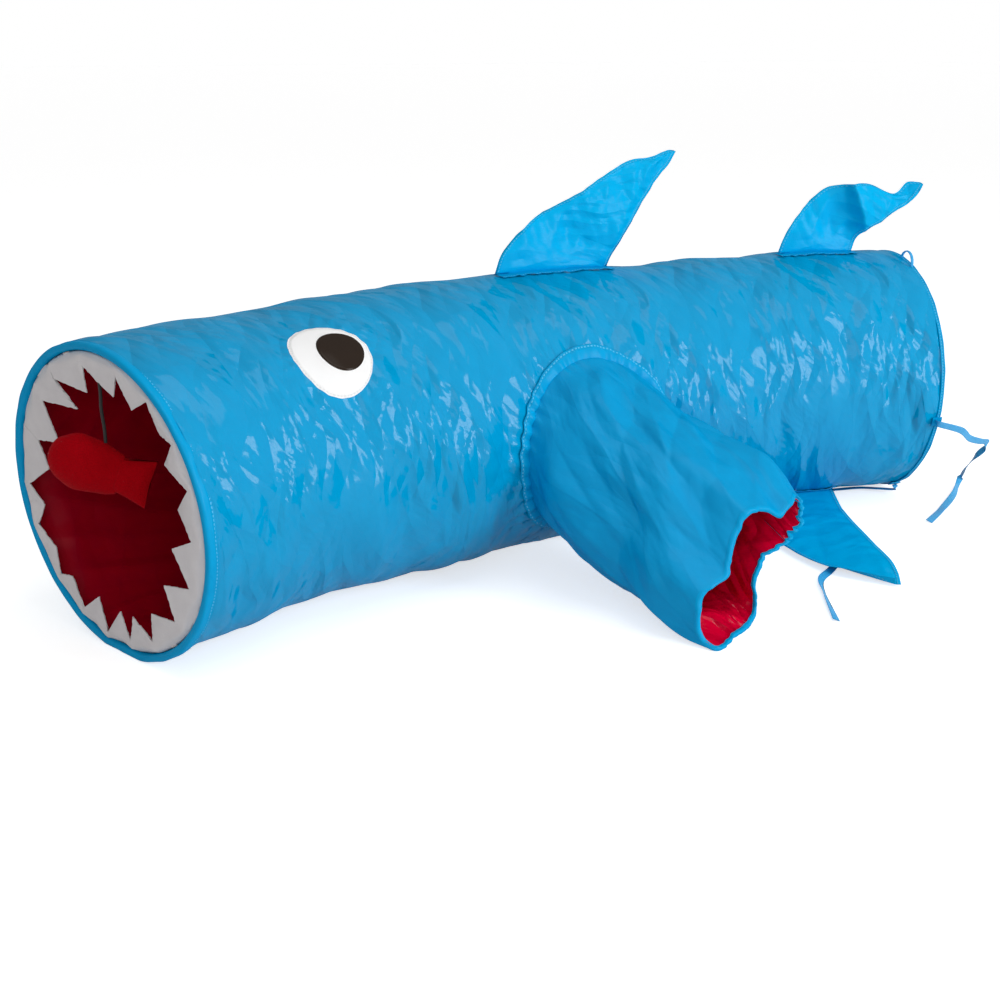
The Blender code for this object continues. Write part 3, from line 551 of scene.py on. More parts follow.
class Effect:
    """A shader node group that several finishes use."""

    # Each effect's number inputs with their defaults, and its number outputs
    sockets: dict[str, tuple[dict[str, float], tuple[str, str]]] = {
        "crinkle": ({"Size": 0.012}, ("Height", "Crease")),
        "weave": ({"Pitch": 0.0005}, ("Height", "Thread")),
        "fibre": ({"Density": 900.0}, ("Height", "Tone")),
        "stitches": ({"Distance": 0.0015, "Pitch": 0.003, "Width": 0.0006}, ("Mask", "Furrow")),
    }
    made: dict[str, bpy.types.NodeTree] = {}

    @classmethod
    def group(cls, name: str) -> bpy.types.NodeTree:
        """The group with that name, built the first time that it is asked for.

        Args:
            name: the effect's name, which is also its method's.

        Returns:
            The node group.
        """
        if name not in cls.made:
            inputs, outputs = cls.sockets[name]
            tree = bpy.data.node_groups.new(name, "ShaderNodeTree")
            tree.interface.new_socket("Vector", in_out="INPUT", socket_type="NodeSocketVector")
            for label, value in inputs.items():
                socket = tree.interface.new_socket(label, in_out="INPUT", socket_type="NodeSocketFloat")
                socket.default_value = value
            for label in outputs:
                tree.interface.new_socket(label, in_out="OUTPUT", socket_type="NodeSocketFloat")
            source = tree.nodes.new("NodeGroupInput")
            graph = Graph(tree)
            results = getattr(cls, name)(graph, source.outputs)
            graph.add("Output", dict(zip(outputs, results)))
            cls.made[name] = tree
        return cls.made[name]

    @staticmethod
    def crinkle(graph: Graph, source: bpy.types.bpy_prop_collection) -> list:
        """Fine crumples: long pointed swells that meet in sharp creases, more here and less there.

        Args:
            graph: the group's graph.
            source: the group's inputs.

        Returns:
            The height, and a mask of the creases, where the finishes paint shade.
        """
        places = graph.scaled(source["Vector"], graph.math("DIVIDE", 1.0, source["Size"]))
        shift = graph.scaled(graph.noise(places, 0.28, 1.0)["Color"], 1.7)
        bent = graph.add("VectorMath", {0: places, 1: shift}, operation="ADD").outputs[0]
        slow = graph.noise(places, 0.20, 1.0)
        mood = graph.math("MULTIPLY_ADD", slow["Fac"], 3.4, -1.05, clamp=True)
        parts = graph.add("SeparateXYZ", {0: slow["Color"]}).outputs
        other = graph.math("MULTIPLY_ADD", parts[1], 3.4, -1.2, clamp=True)
        total: object = 0.0
        # The swells' lean, width and length, their share of the height, and where they show
        main = (0.42, 1.0, 0.24)
        for shape, share, where in (
            (main, 0.50, mood), ((-0.30, 1.25, 0.30), -0.34, other), ((0.20, 2.3, 0.60), -0.11, mood),
            ((0.80, 4.0, 1.2), 0.03, other),
        ):
            spots = graph.turned(bent, *shape)
            cells = graph.add("TexVoronoi", {"Vector": spots, "Scale": 1.0}, voronoi_dimensions="2D")
            strength = graph.math("MULTIPLY_ADD", where, 0.85, 0.15)
            height = graph.math("MULTIPLY", cells.outputs["Distance"], strength)
            total = graph.math("MULTIPLY_ADD", height, share, total)
        edge = graph.add("TexVoronoi", {"Vector": graph.turned(bent, *main), "Scale": 1.0},
                         feature="DISTANCE_TO_EDGE", voronoi_dimensions="2D")
        near = graph.math("MULTIPLY", edge.outputs["Distance"], 9.0)
        crease = graph.math("SUBTRACT", 1.0, near, clamp=True)
        return [total, graph.math("MULTIPLY", crease, mood)]

    @staticmethod
    def weave(graph: Graph, source: bpy.types.bpy_prop_collection) -> list:
        """A plain weave of round threads.

        Args:
            graph: the group's graph.
            source: the group's inputs.

        Returns:
            The height, and how far up each thread a place lies.
        """
        turns = graph.math("DIVIDE", math.tau, source["Pitch"])
        parts = graph.add("SeparateXYZ", {0: source["Vector"]}).outputs
        waves = [graph.math("SINE", graph.math("MULTIPLY", part, turns)) for part in (parts[0], parts[1])]
        thread = graph.math("MULTIPLY", *waves)
        return [thread, graph.math("MULTIPLY_ADD", thread, 0.5, 0.5)]

    @staticmethod
    def fibre(graph: Graph, source: bpy.types.bpy_prop_collection) -> list:
        """Matted fibres, and a slow change of tone."""
        places = graph.scaled(source["Vector"], source["Density"])
        return [graph.noise(places, 1.0, 5.0, 1.2)["Fac"], graph.noise(places, 0.08, 3.0)["Fac"]]

    @staticmethod
    def stitches(graph: Graph, source: bpy.types.bpy_prop_collection) -> list:
        """A row of stitches at a distance from the sewn edge, in the furrow that the thread pulls.

        Args:
            graph: the group's graph.
            source: the group's inputs.

        Returns:
            Masks of the stitches and of the furrow.
        """
        furrow_width = 0.0016
        parts = graph.add("SeparateXYZ", {0: source["Vector"]}).outputs
        off = graph.math("ABSOLUTE", graph.math("SUBTRACT", parts[1], source["Distance"]))
        line, furrow = (
            graph.math("SUBTRACT", 1.0, graph.math("DIVIDE", off, width), clamp=True)
            for width in (source["Width"], furrow_width)
        )
        turns = graph.math("DIVIDE", math.tau, source["Pitch"])
        beat = graph.math("SINE", graph.math("MULTIPLY", parts[0], turns))
        dash = graph.math("MULTIPLY_ADD", beat, 2.0, 0.9, clamp=True)
        mask = graph.math("MULTIPLY", graph.math("MULTIPLY", line, 2.5, clamp=True), dash)
        return [mask, furrow]


@dataclass(frozen=True)
class Fabric:
    """A cloth finish.

    Attributes:
        colour: its colour, linear.
        deep: a darker colour, which its random tone and its weave drift towards and which paints shade into
            its creases.
        roughness: of its surface.
        crinkle: the height of its fine crumples.
        crinkle_size: their width.
        pitch: the weave's pitch.
        thread: the weave's height.
        sheen: how much soft light its nap gives back.
        specular: how strongly it mirrors.
        gloss: how strongly the film on it mirrors.
        fibre: the height of matted fibres.
        density: how fine those fibres are.
        stitches: distances of the stitch rows from the sewn edge.
        thread_colour: the stitches' colour.
    """

    colour: Colour
    deep: Colour
    roughness: float
    crinkle: float = 0.0
    crinkle_size: float = 0.012
    pitch: float = 0.0005
    thread: float = 0.00002
    sheen: float = 0.0
    specular: float = 0.5
    gloss: float = 0.0
    fibre: float = 0.0
    density: float = 900.0
    stitches: tuple[float, ...] = ()
    thread_colour: Colour = (0.10, 0.50, 0.80)

    def material(self, name: str) -> bpy.types.Material:
        """Builds the finish.

        Args:
            name: the material's name.

        Returns:
            The material.
        """
        made, graph, shader = unfinished(name)
        cloth = graph.add("UVMap", uv_map="UVMap").outputs[0]
        fibre = graph.effect("fibre", graph.add("TexCoord").outputs["Object"], Density=self.density)
        # Random tone from the fibres drifts the colour towards the deep one; below, painted shade darkens it
        # in the creases.
        tone = graph.math("MULTIPLY_ADD", fibre["Tone"], 1.6, -0.4, clamp=True)
        shade = graph.math("MULTIPLY", tone, 0.5)
        height = graph.math("MULTIPLY", fibre["Height"], self.fibre)
        if self.crinkle:
            crinkle = graph.effect("crinkle", cloth, Size=self.crinkle_size)
            height = graph.math("MULTIPLY_ADD", crinkle["Height"], self.crinkle, height)
            # Painted shade: the crumples' creases darken the colour towards the deep one.
            shade = graph.math("MULTIPLY_ADD", crinkle["Crease"], 0.25, shade, clamp=True)
        if self.thread:
            weave = graph.effect("weave", cloth, Pitch=self.pitch)
            height = graph.math("MULTIPLY_ADD", weave["Height"], self.thread, height)
            shade = graph.math("MULTIPLY_ADD", weave["Thread"], 0.12, shade, clamp=True)
        colour = graph.blend(shade, (*self.colour, 1.0), (*self.deep, 1.0))
        for distance in self.stitches:
            row = graph.effect("stitches", graph.add("UVMap", uv_map="Seam").outputs[0], Distance=distance)
            colour = graph.blend(row["Mask"], colour, (*self.thread_colour, 1.0))
            height = graph.math("MULTIPLY_ADD", row["Mask"], 0.00025, height)
            height = graph.math("MULTIPLY_ADD", row["Furrow"], -0.0005, height)
        bump = graph.add("Bump", {"Height": height, "Distance": 1.0, "Strength": 1.0}).outputs[0]
        graph.feed(shader, {
            "Base Color": colour, "Roughness": self.roughness, "Specular IOR Level": self.specular,
            "Coat Weight": self.gloss, "Coat Roughness": self.roughness, "Coat IOR": 2.0,
            "Sheen Weight": self.sheen, "Sheen Roughness": 0.4, "Normal": bump, "Coat Normal": bump,
        })
        return made


@dataclass(frozen=True)
class Wire:
    """A drawn steel finish."""

    colour: Colour = (0.55, 0.55, 0.56)
    roughness: float = 0.3

    def material(self, name: str) -> bpy.types.Material:
        """Builds the finish.

        Args:
            name: the material's name.

        Returns:
            The material.
        """
        made, graph, shader = unfinished(name)
        fibre = graph.effect("fibre", graph.add("TexCoord").outputs["Object"])
        dark = (0.6 * part for part in self.colour)
        colour = graph.blend(fibre["Tone"], (*self.colour, 1.0), (*dark, 1.0))
        graph.feed(shader, {"Base Color": colour, "Metallic": 1.0, "Roughness": self.roughness})
        return made


# Each cloth's second colour is darker: its random tone drifts towards it, and it paints shade into its
# creases.
FINISHES: dict[Slot, Fabric | Wire] = {
    Slot.CLOTH: Fabric((0.0, 0.32, 0.62), (0.0, 0.27, 0.54), 0.095, crinkle=0.0130, crinkle_size=0.025,
                       thread=0.0000007, specular=0.0, gloss=0.13),
    Slot.SATIN: Fabric((0.0, 0.41, 0.77), (0.0, 0.37, 0.71), 0.22, crinkle=0.0070, crinkle_size=0.026,
                       thread=0.000001, stitches=(0.003,), specular=0.0, gloss=0.04),
    Slot.BAND: Fabric((0.0, 0.35, 0.68), (0.0, 0.29, 0.60), 0.30, crinkle=0.0010, stitches=(0.0016,),
                      thread=0.000002, specular=0.0, gloss=0.07),
    Slot.SLEEVE: Fabric((0.0, 0.32, 0.64), (0.0, 0.26, 0.55), 0.38, crinkle=0.0080, crinkle_size=0.026,
                        thread=0.000002, specular=0.0, gloss=0.09),
    Slot.RIBBON: Fabric((0.02, 0.37, 0.75), (0.01, 0.26, 0.56), 0.45, pitch=0.0007, thread=0.00006),
    Slot.FILM: Fabric((0.80, 0.80, 0.80), (0.70, 0.70, 0.70), 0.25, crinkle=0.0020),
    Slot.LINING: Fabric((0.42, 0.0, 0.012), (0.32, 0.0, 0.018), 0.35, crinkle=0.0060, crinkle_size=0.035,
                        thread=0.000002, specular=0.0, gloss=0.05),
    Slot.RED: Fabric((0.78, 0.0, 0.036), (0.58, 0.0, 0.030), 0.20, crinkle=0.0200, crinkle_size=0.022,
                     thread=0.000001, specular=0.0, gloss=0.24),
    Slot.TAPE: Fabric((0.15, 0.0, 0.008), (0.09, 0.0, 0.005), 0.7, pitch=0.0012, thread=0.0001),
    Slot.STEEL: Wire(),
    Slot.FELT: Fabric((0.76, 0.73, 0.74), (0.62, 0.59, 0.61), 0.85, sheen=0.15, fibre=0.0006, thread=0.0),
    Slot.EYE_WHITE: Fabric((0.90, 0.90, 0.90), (0.87, 0.87, 0.87), 0.55, stitches=(0.0014,),
                           thread_colour=(0.80, 0.80, 0.80)),
    Slot.PUPIL: Fabric((0.020, 0.011, 0.006), (0.016, 0.009, 0.005), 0.16, thread=0.0, specular=0.0,
                       gloss=0.10),
    Slot.STRING: Fabric((0.012, 0.010, 0.010), (0.006, 0.005, 0.005), 0.8, fibre=0.0002, thread=0.0),
    Slot.PLUSH: Fabric((0.42, 0.0, 0.005), (0.30, 0.0, 0.003), 0.95, sheen=0.03, specular=0.05, fibre=0.0008,
                       density=700.0, thread=0.0),
}


class Dresser:
    """Gives pieces their finishes, slots and bodies."""

    def __init__(self) -> None:
        """Starts with no finish built."""
        self.materials: dict[Slot, bpy.types.Material] = {}

    def material(self, slot: Slot) -> bpy.types.Material:
        """The material of a slot, built once.

        Args:
            slot: the record's slot.

        Returns:
            The material.
        """
        if slot not in self.materials:
            self.materials[slot] = FINISHES[slot].material(slot.value)
        return self.materials[slot]

    def dress(
        self, piece: bpy.types.Object, slot: Slot, replaces: Sequence[str] = (), body: str | None = None
    ) -> bpy.types.Object:
        """Finishes a new piece, hides the CAD nodes that it stands for, and hangs it on its body.

        Args:
            piece: the piece.
            slot: the record's slot that its finish comes from.
            replaces: the CAD nodes that it stands for.
            body: the body that it rides on, unless it bends between two.

        Returns:
            The piece.
        """
        piece.data.materials.clear()
        piece.data.materials.append(self.material(slot))
        if replaces:
            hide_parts(*replaces)
        if body:
            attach(piece, body)
        LOG.info("%s: %s", piece.name, slot.value)
        return piece

    def dress_nodes(self) -> None:
        """Gives every CAD node that still shows its finish."""
        for row in frame["record"]["subparts"]:
            node = frame["nodes"][row["node"]]
            node.data.materials.clear()
            node.data.materials.append(self.material(Slot(row["material_slot"])))


# The tunnel's shape


@dataclass(frozen=True)
class Tube:
    """The bent tube that every piece follows: station along it, roll round it, distance from its axis."""

    radius: float = 0.125
    axis_height: float = 0.123
    bend: float = 1.295
    length: float = 2 * HALF
    panels: int = 3
    floor: float = 0.0003

    @property
    def panel(self) -> float:
        """The length of one panel."""
        return self.length / self.panels

    def at(self, along: Array, roll: Array, radius: Array) -> Array:
        """Points of the tube.

        Args:
            along: the stations on the centreline, 0 in the middle.
            roll: 0 on the near side, a quarter turn on top.
            radius: the distances from the axis.

        Returns:
            An array of points.
        """
        along, roll, radius = np.broadcast_arrays(along, roll, radius)
        turn = along / self.bend
        reach = self.bend - radius * np.cos(roll)
        low = np.maximum(self.radius - radius, self.floor)
        height = np.maximum(self.axis_height + radius * np.sin(roll), low)
        return np.stack([np.sin(turn) * reach, np.cos(turn) * reach - self.bend, height], -1)

    def off_hoop(self, along: Array) -> tuple[Array, Array]:
        """Where stations lie in their panel, from 0 to 1, and how far they are from the nearest hoop."""
        share = np.mod((along + self.length / 2) / self.panel, 1.0)
        return share, np.minimum(share, 1 - share) * self.panel

    def behind(self, x: Array, z: Array, radius: Array) -> tuple[Array, Array]:
        """The station and roll of the near side behind places in the X-Z plane."""
        roll = np.arcsin(np.clip((z - self.axis_height) / radius, -1.0, 1.0))
        return self.bend * np.arcsin(x / (self.bend - radius * np.cos(roll))), roll

    def heading(self, along: float) -> tuple[Vector, Vector]:
        """The direction to the tail and the direction to the far side at a station."""
        turn = along / self.bend
        return Vector((math.cos(turn), -math.sin(turn), 0.0)), Vector((math.sin(turn), math.cos(turn), 0.0))


@dataclass(frozen=True)
class Pleats:
    """Small folds that gather round a seam.

    Attributes:
        count: how many there are in a full turn.
        height: the height of the tallest.
        edge: the seam's distance from the middle.
        fade: how far from the seam they die away.
    """

    count: int
    height: float
    edge: float
    fade: float

    def __call__(self, turn: Array, off: Array, stray: Array) -> Array:
        """The height of the folds.

        Args:
            turn: turns round the seam.
            off: distances from its middle.
            stray: how far their lines stray, as shares of one fold.

        Returns:
            One height for each place.
        """
        beat = np.abs(np.mod(turn * self.count / math.tau + stray, 1.0) - 0.5) * 4 - 1
        return self.height * beat * np.exp(-np.clip(off - self.edge, 0.0, None) / self.fade)


@dataclass(frozen=True)
class Skin:
    """The crumpled outer cloth, as a distance from the tube's axis at each place."""

    tube: Tube = Tube()
    sag_side: float = 0.0030
    swell_ends: float = 0.0058
    swell_middle: float = 0.0030
    eye: tuple[float, float] = (-0.2554, math.radians(53.0))
    hole_height: float = 0.117
    hole_radius: float = 0.070
    layers: tuple[Creases, ...] = (
        Creases(Fold.SOFT, 0.045, 0.080, 0.0022, 0.20, 0.030, 3),
        Creases(Fold.SOFT, 0.022, 0.050, 0.0012, 0.42, 0.020, 11),
        Creases(Fold.VALLEY, 0.036, 0.095, 0.0016, 0.10, 0.022, 23),
        Creases(Fold.FACET, 0.028, 0.070, 0.0026, 0.30, 0.012, 37),
    )
    # Loose places: station and roll in degrees, height, and how far each reaches along and round, in degrees
    bulges: tuple[tuple[float, float, float, float, float], ...] = (
        (-0.140, 75.0, 0.0048, 0.085, 50.0), (-0.124, -42.0, 0.0085, 0.045, 34.0),
        (-0.285, -45.0, -0.0060, 0.050, 34.0), (0.030, 90.0, 0.0020, 0.080, 40.0),
        (-0.270, 90.0, -0.0030, 0.045, 35.0),
    )
    sleeve_pleats: Pleats = Pleats(34, 0.0011, 0.083, 0.016)
    eye_pleats: Pleats = Pleats(19, 0.0008, 0.036, 0.014)
    hoop_clearance: float = 0.1244
    free_clearance: float = 0.1150

    def drawn_in(self, along: Array, roll: Array) -> Array:
        """How far the cloth pulls in between its hoops.

        Args:
            along: stations.
            roll: rolls.

        Returns:
            One distance for each place.
        """
        share, _ = self.tube.off_hoop(along)
        under, over = soft_step(-np.sin(roll), 0.3, 1.0), soft_step(np.sin(roll), 0.1, 0.9)
        depth = self.sag_side - self.swell_ends * over - self.swell_middle * under
        middle = soft_step(self.tube.panel * 0.8 - np.abs(along), 0.0, 0.05)
        return (depth - self.swell_middle * under * middle) * 4 * share * (1 - share)

    def hold(self, along: Array) -> Array:
        """How free the cloth is to crumple: little at a hoop, fully away from it."""
        return 0.45 + 0.55 * soft_step(self.tube.off_hoop(along)[1], 0.0, 0.022)

    def crumple(self, along: Array, roll: Array) -> Array:
        """The height of the creases, which meet at the bottom.

        Args:
            along: stations.
            roll: rolls.

        Returns:
            One height for each place.
        """
        around = roll * self.tube.radius
        joined = soft_step(roll, -QUARTER, -QUARTER + JOIN)
        total = meeting(self.layers, along, around, joined, (0.0, math.tau * self.tube.radius))
        mood = 0.75 + 0.45 * smooth_noise(along / 0.075, around / 0.06, 5)
        top = 1 - 0.45 * soft_step(np.sin(roll), 0.80, 0.97)
        return total * mood * top

    def pleats(self, along: Array, roll: Array) -> Array:
        """The small folds that gather round the sleeve's seam and the eye.

        Args:
            along: stations.
            roll: rolls.

        Returns:
            One height for each place.
        """
        spots = self.tube.at(along, roll, self.tube.radius)
        x, rise = spots[..., 0], spots[..., 2] - self.hole_height
        off, turn = np.hypot(x, rise), np.arctan2(rise, x)
        sleeve = self.sleeve_pleats(turn, off, 0.6 * smooth_noise(turn * 3, off * 40, 8))
        mouthward = 0.6 + 0.8 * soft_step(-x, 0.0, 0.06)
        near_side = (np.cos(roll) > 0) * (off > 0.06)
        dx, dy = along - self.eye[0], (roll - self.eye[1]) * self.tube.radius
        off = np.hypot(dx, dy)
        eye = self.eye_pleats(np.arctan2(dy, dx), off, 0.5 * smooth_noise(dx * 60, dy * 60, 9))
        return sleeve * mouthward * near_side + eye * soft_step(off, 0.030, 0.040)

    def loose(self, along: Array, roll: Array) -> Array:
        """How far the cloth bulges at its loose places.

        Args:
            along: stations.
            roll: rolls.

        Returns:
            One height for each place.
        """
        total = np.zeros(np.shape(along))
        for station, side, height, run, spread in self.bulges:
            off = np.mod(roll - math.radians(side) + math.pi, math.tau) - math.pi
            far = ((along - station) / run) ** 2 + (off / math.radians(spread)) ** 2
            total = total + height * np.exp(-far)
        return total

    def calm(self, along: Array, roll: Array) -> Array:
        """How much of the crumple is left under the eyes, where a second cloth stiffens it.

        Args:
            along: stations.
            roll: rolls.

        Returns:
            One share for each place.
        """
        off = [
            np.hypot(along - self.eye[0], (roll - side) * self.tube.radius)
            for side in (self.eye[1], math.pi - self.eye[1])
        ]
        return 0.30 + 0.70 * soft_step(np.minimum(*off), 0.028, 0.050)

    def radius(self, along: Array, roll: Array) -> Array:
        """The cloth's distance from the tube's axis.

        Args:
            along: stations.
            roll: rolls.

        Returns:
            One distance for each place.
        """
        folds = self.crumple(along, roll) * self.calm(along, roll) + self.pleats(along, roll)
        plain = self.tube.radius - 0.0002 - self.drawn_in(along, roll)
        free = plain + folds * self.hold(along) + self.loose(along, roll)
        away = soft_step(self.tube.off_hoop(along)[1], 0.004, 0.024)
        return np.maximum(free, self.hoop_clearance + (self.free_clearance - self.hoop_clearance) * away)

    def at(self, along: Array, roll: Array, lift: float = 0.0) -> Array:
        """Points on the cloth, or a lift above it."""
        return self.tube.at(along, roll, self.radius(along, roll) + lift)


class Panel(Enum):
    """The three lengths of the tunnel, with the bodies at their ends and the station where each starts."""

    FRONT = ("front", "mouth_end", "front_hoop_body", -HALF)
    MIDDLE = ("middle", "front_hoop_body", "rear_hoop_body", -HALF / 3)
    REAR = ("rear", "rear_hoop_body", "tail_end", HALF / 3)

    @property
    def title(self) -> str:
        """The panel's name."""
        return self.value[0]

    @property
    def start(self) -> float:
        """The station where the panel starts."""
        return self.value[3]

    def bend(self, piece: bpy.types.Object, tube: Tube, margin: float = 0.006) -> None:
        """Works out the panel's two ends and bakes the piece's placement into its mesh."""
        ends = [tube.at(self.start + run, QUARTER, 0.0) for run in (margin, tube.panel - margin)]
        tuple(ends[0])
        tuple(ends[1])
        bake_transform(piece)

@dataclass
class Tunnel:
    """The three panels of cloth, with the film and the lining under it."""

    dresser: Dresser
    skin: Skin = Skin()
    wall: float = 0.0008
    lining_wall: float = 0.0005
    film_depth: float = 0.0034
    lining_depth: float = 0.0062
    slack: float = 0.0050
    film_gap: float = 0.0022
    lining_gap: float = 0.0040
    edge: float = 0.006
    casing: float = 0.0045
    folds: tuple[Creases, ...] = (
        Creases(Fold.VALLEY, 0.030, 0.20, 0.0030, QUARTER + 0.12, 0.03, 71),
        Creases(Fold.SOFT, 0.016, 0.09, 0.0012, QUARTER - 0.25, 0.02, 83),
    )

    def in_hole(self, points: Array) -> Array:
        """Whether points of the near side lie in the sleeve's hole."""
        off = np.hypot(points[:, 0], points[:, 2] - self.skin.hole_height)
        return (off < self.skin.hole_radius) & (points[:, 1] < 0)

    def layer(
        self, name: str, panel: Panel, inset: float, steps: tuple[int, int], radius: Surface
    ) -> bpy.types.Object:
        """One layer of cloth round a panel.

        Args:
            name: the piece's name.
            panel: the panel that it belongs to.
            inset: how far inside the hoops it ends.
            steps: columns and rows of its grid.
            radius: its distance from the axis at each station and roll.

        Returns:
            The piece.
        """
        tube = self.skin.tube
        start = panel.start + (self.edge if panel is Panel.FRONT else inset)
        end = panel.start + tube.panel - (self.edge / 2 if panel is Panel.REAR else inset)

        def surface(u: Array, v: Array) -> Array:
            """Points of the layer."""
            along, roll = start + (end - start) * u, math.tau * v - QUARTER
            return tube.at(along, roll, radius(along, roll))

        cut = self.in_hole if panel is Panel.MIDDLE else None
        girth = math.tau * tube.radius
        piece = grid_piece(name, *steps, surface, (end - start, girth), cut=cut, hems="u")
        if cut:
            self.trim_hole(piece, radius)
        return piece

    def trim_hole(self, piece: bpy.types.Object, radius: Surface) -> None:
        """Moves the cut edge of a hole onto its true circle.

        Args:
            piece: the layer with the hole.
            radius: its distance from the axis at each station and roll.
        """
        tube, height = self.skin.tube, self.skin.hole_height
        with reshaped(piece.data) as cloth:
            for vert in cloth.verts:
                x, y, z = vert.co
                off = math.hypot(x, z - height)
                if vert.is_boundary and y < 0 and abs(off - self.skin.hole_radius) < 0.006:
                    ratio = self.skin.hole_radius / off
                    x, z = np.array([x * ratio]), np.array([height + (z - height) * ratio])
                    along, roll = tube.behind(x, z, NEAR_SIDE)
                    vert.co = tube.at(along, roll, radius(along, roll))[0]

    def build(self) -> None:
        skin, flat = self.skin, (math.tau * self.skin.tube.radius, self.skin.tube.panel)
        for panel in Panel:
            for title, solid, slot, inset, steps, radius, wall in (
                ("cloth", "shell", Slot.CLOTH, 0.0, (128, 356), skin.radius, self.wall),
                ("crinkle_film", "film", Slot.FILM, self.casing, (36, 120), self.film_radius, 0.0),
                ("inner_cloth", "lining", Slot.LINING, self.casing, (80, 280), self.lining_radius,
                 self.lining_wall),
            ):
                piece = self.layer(f"{panel.title}_{title}", panel, inset, steps, radius)
                if wall:
                    thicken(piece, wall)
                self.dresser.dress(piece, slot, [f"{panel.title}_{solid}"])
                panel.bend(piece, skin.tube)

    def give(self, along: Array) -> Array:
        """How much further inside the inner layers hang away from the hoops."""
        return self.slack * soft_step(self.skin.tube.off_hoop(along)[1], 0.004, 0.03)

    def film_radius(self, along: Array, roll: Array) -> Array:
        """The film's distance from the tube's axis."""
        free = self.skin.tube.radius - self.skin.drawn_in(along, roll) - self.film_depth - self.give(along)
        return np.minimum(free, self.skin.radius(along, roll) - self.film_gap)

    def lining_radius(self, along: Array, roll: Array) -> Array:
        """The lining's distance from the tube's axis, with the long soft folds that it hangs in.

        Args:
            along: stations.
            roll: rolls.

        Returns:
            One distance for each place.
        """
        tube, skin = self.skin.tube, self.skin
        joined = soft_step(roll, -QUARTER, -QUARTER + JOIN)
        folds = meeting(self.folds, along, roll * tube.radius, joined, (0.0, math.tau * tube.radius))
        folds = np.minimum(folds, 0.0012) * skin.hold(along)
        free = tube.radius - skin.drawn_in(along, roll) - self.lining_depth - self.give(along) + folds
        return np.minimum(free, skin.radius(along, roll) - self.lining_gap)


@dataclass
class Rims:
    """The bound edges that are folded over the hoops at the mouth and the tail."""

    dresser: Dresser
    tube: Tube = Tube()
    wall: float = 0.0008
    profile: tuple[tuple[float, float], ...] = (
        (0.0092, 0.11925), (0.0040, 0.1193), (0.0016, 0.1199), (0.0004, 0.1213), (0.0, 0.1232),
        (0.0006, 0.1250), (0.0022, 0.1259), (0.0050, 0.1258), (0.0078, 0.1256), (0.0100, 0.12545),
    )

    def build(self) -> None:
        """Makes both rims."""
        run = math.tau * self.tube.radius
        for name, inward, deep in (("mouth", 1.0, 1.0), ("tail", -1.0, 0.5)):
            path = smooth_curve(np.array(self.profile) * (deep, 1.0), 41)
            width = line_length(path)

            def surface(u: Array, v: Array) -> Array:
                """Points of the rim.

                Args:
                    u: places across the grid, from 0 to 1.
                    v: places along it, from 0 to 1.

                Returns:
                    An array of points.
                """
                depth, radius = along_curve(path, u if inward > 0 else 1 - u).T
                roll = math.tau * v - QUARTER
                outer = soft_step(radius, 0.122, 0.1255)
                pucker = 0.00022 * np.sin(roll * 190) * soft_step(depth, 0.006, 0.009) * outer
                wave = 0.0009 * smooth_noise(roll * 4, depth * 0, 3) * soft_step(depth, 0.004, 0.01)
                dent = 0.0005 * smooth_noise(roll * 9, depth * 150, 4) * outer
                joined = soft_step(np.abs(np.cos(roll / 2 + QUARTER / 2)), 0.0, 0.2)
                station = inward * (depth + wave * joined - HALF)
                return self.tube.at(station, roll, radius + (pucker + dent) * joined)

            def seam(u: Array, v: Array) -> Array:
                """The run round the rim and the distance from its sewn edge."""
                return np.stack([v * run, (1 - (u if inward > 0 else 1 - u)) * width], -1)

            rim = grid_piece(f"{name}_rim", 40, 420, surface, (width, run), seam, hems="u")
            thicken(rim, self.wall)
            self.dresser.dress(rim, Slot.BAND, [f"{name}_binding"], f"{name}_end")


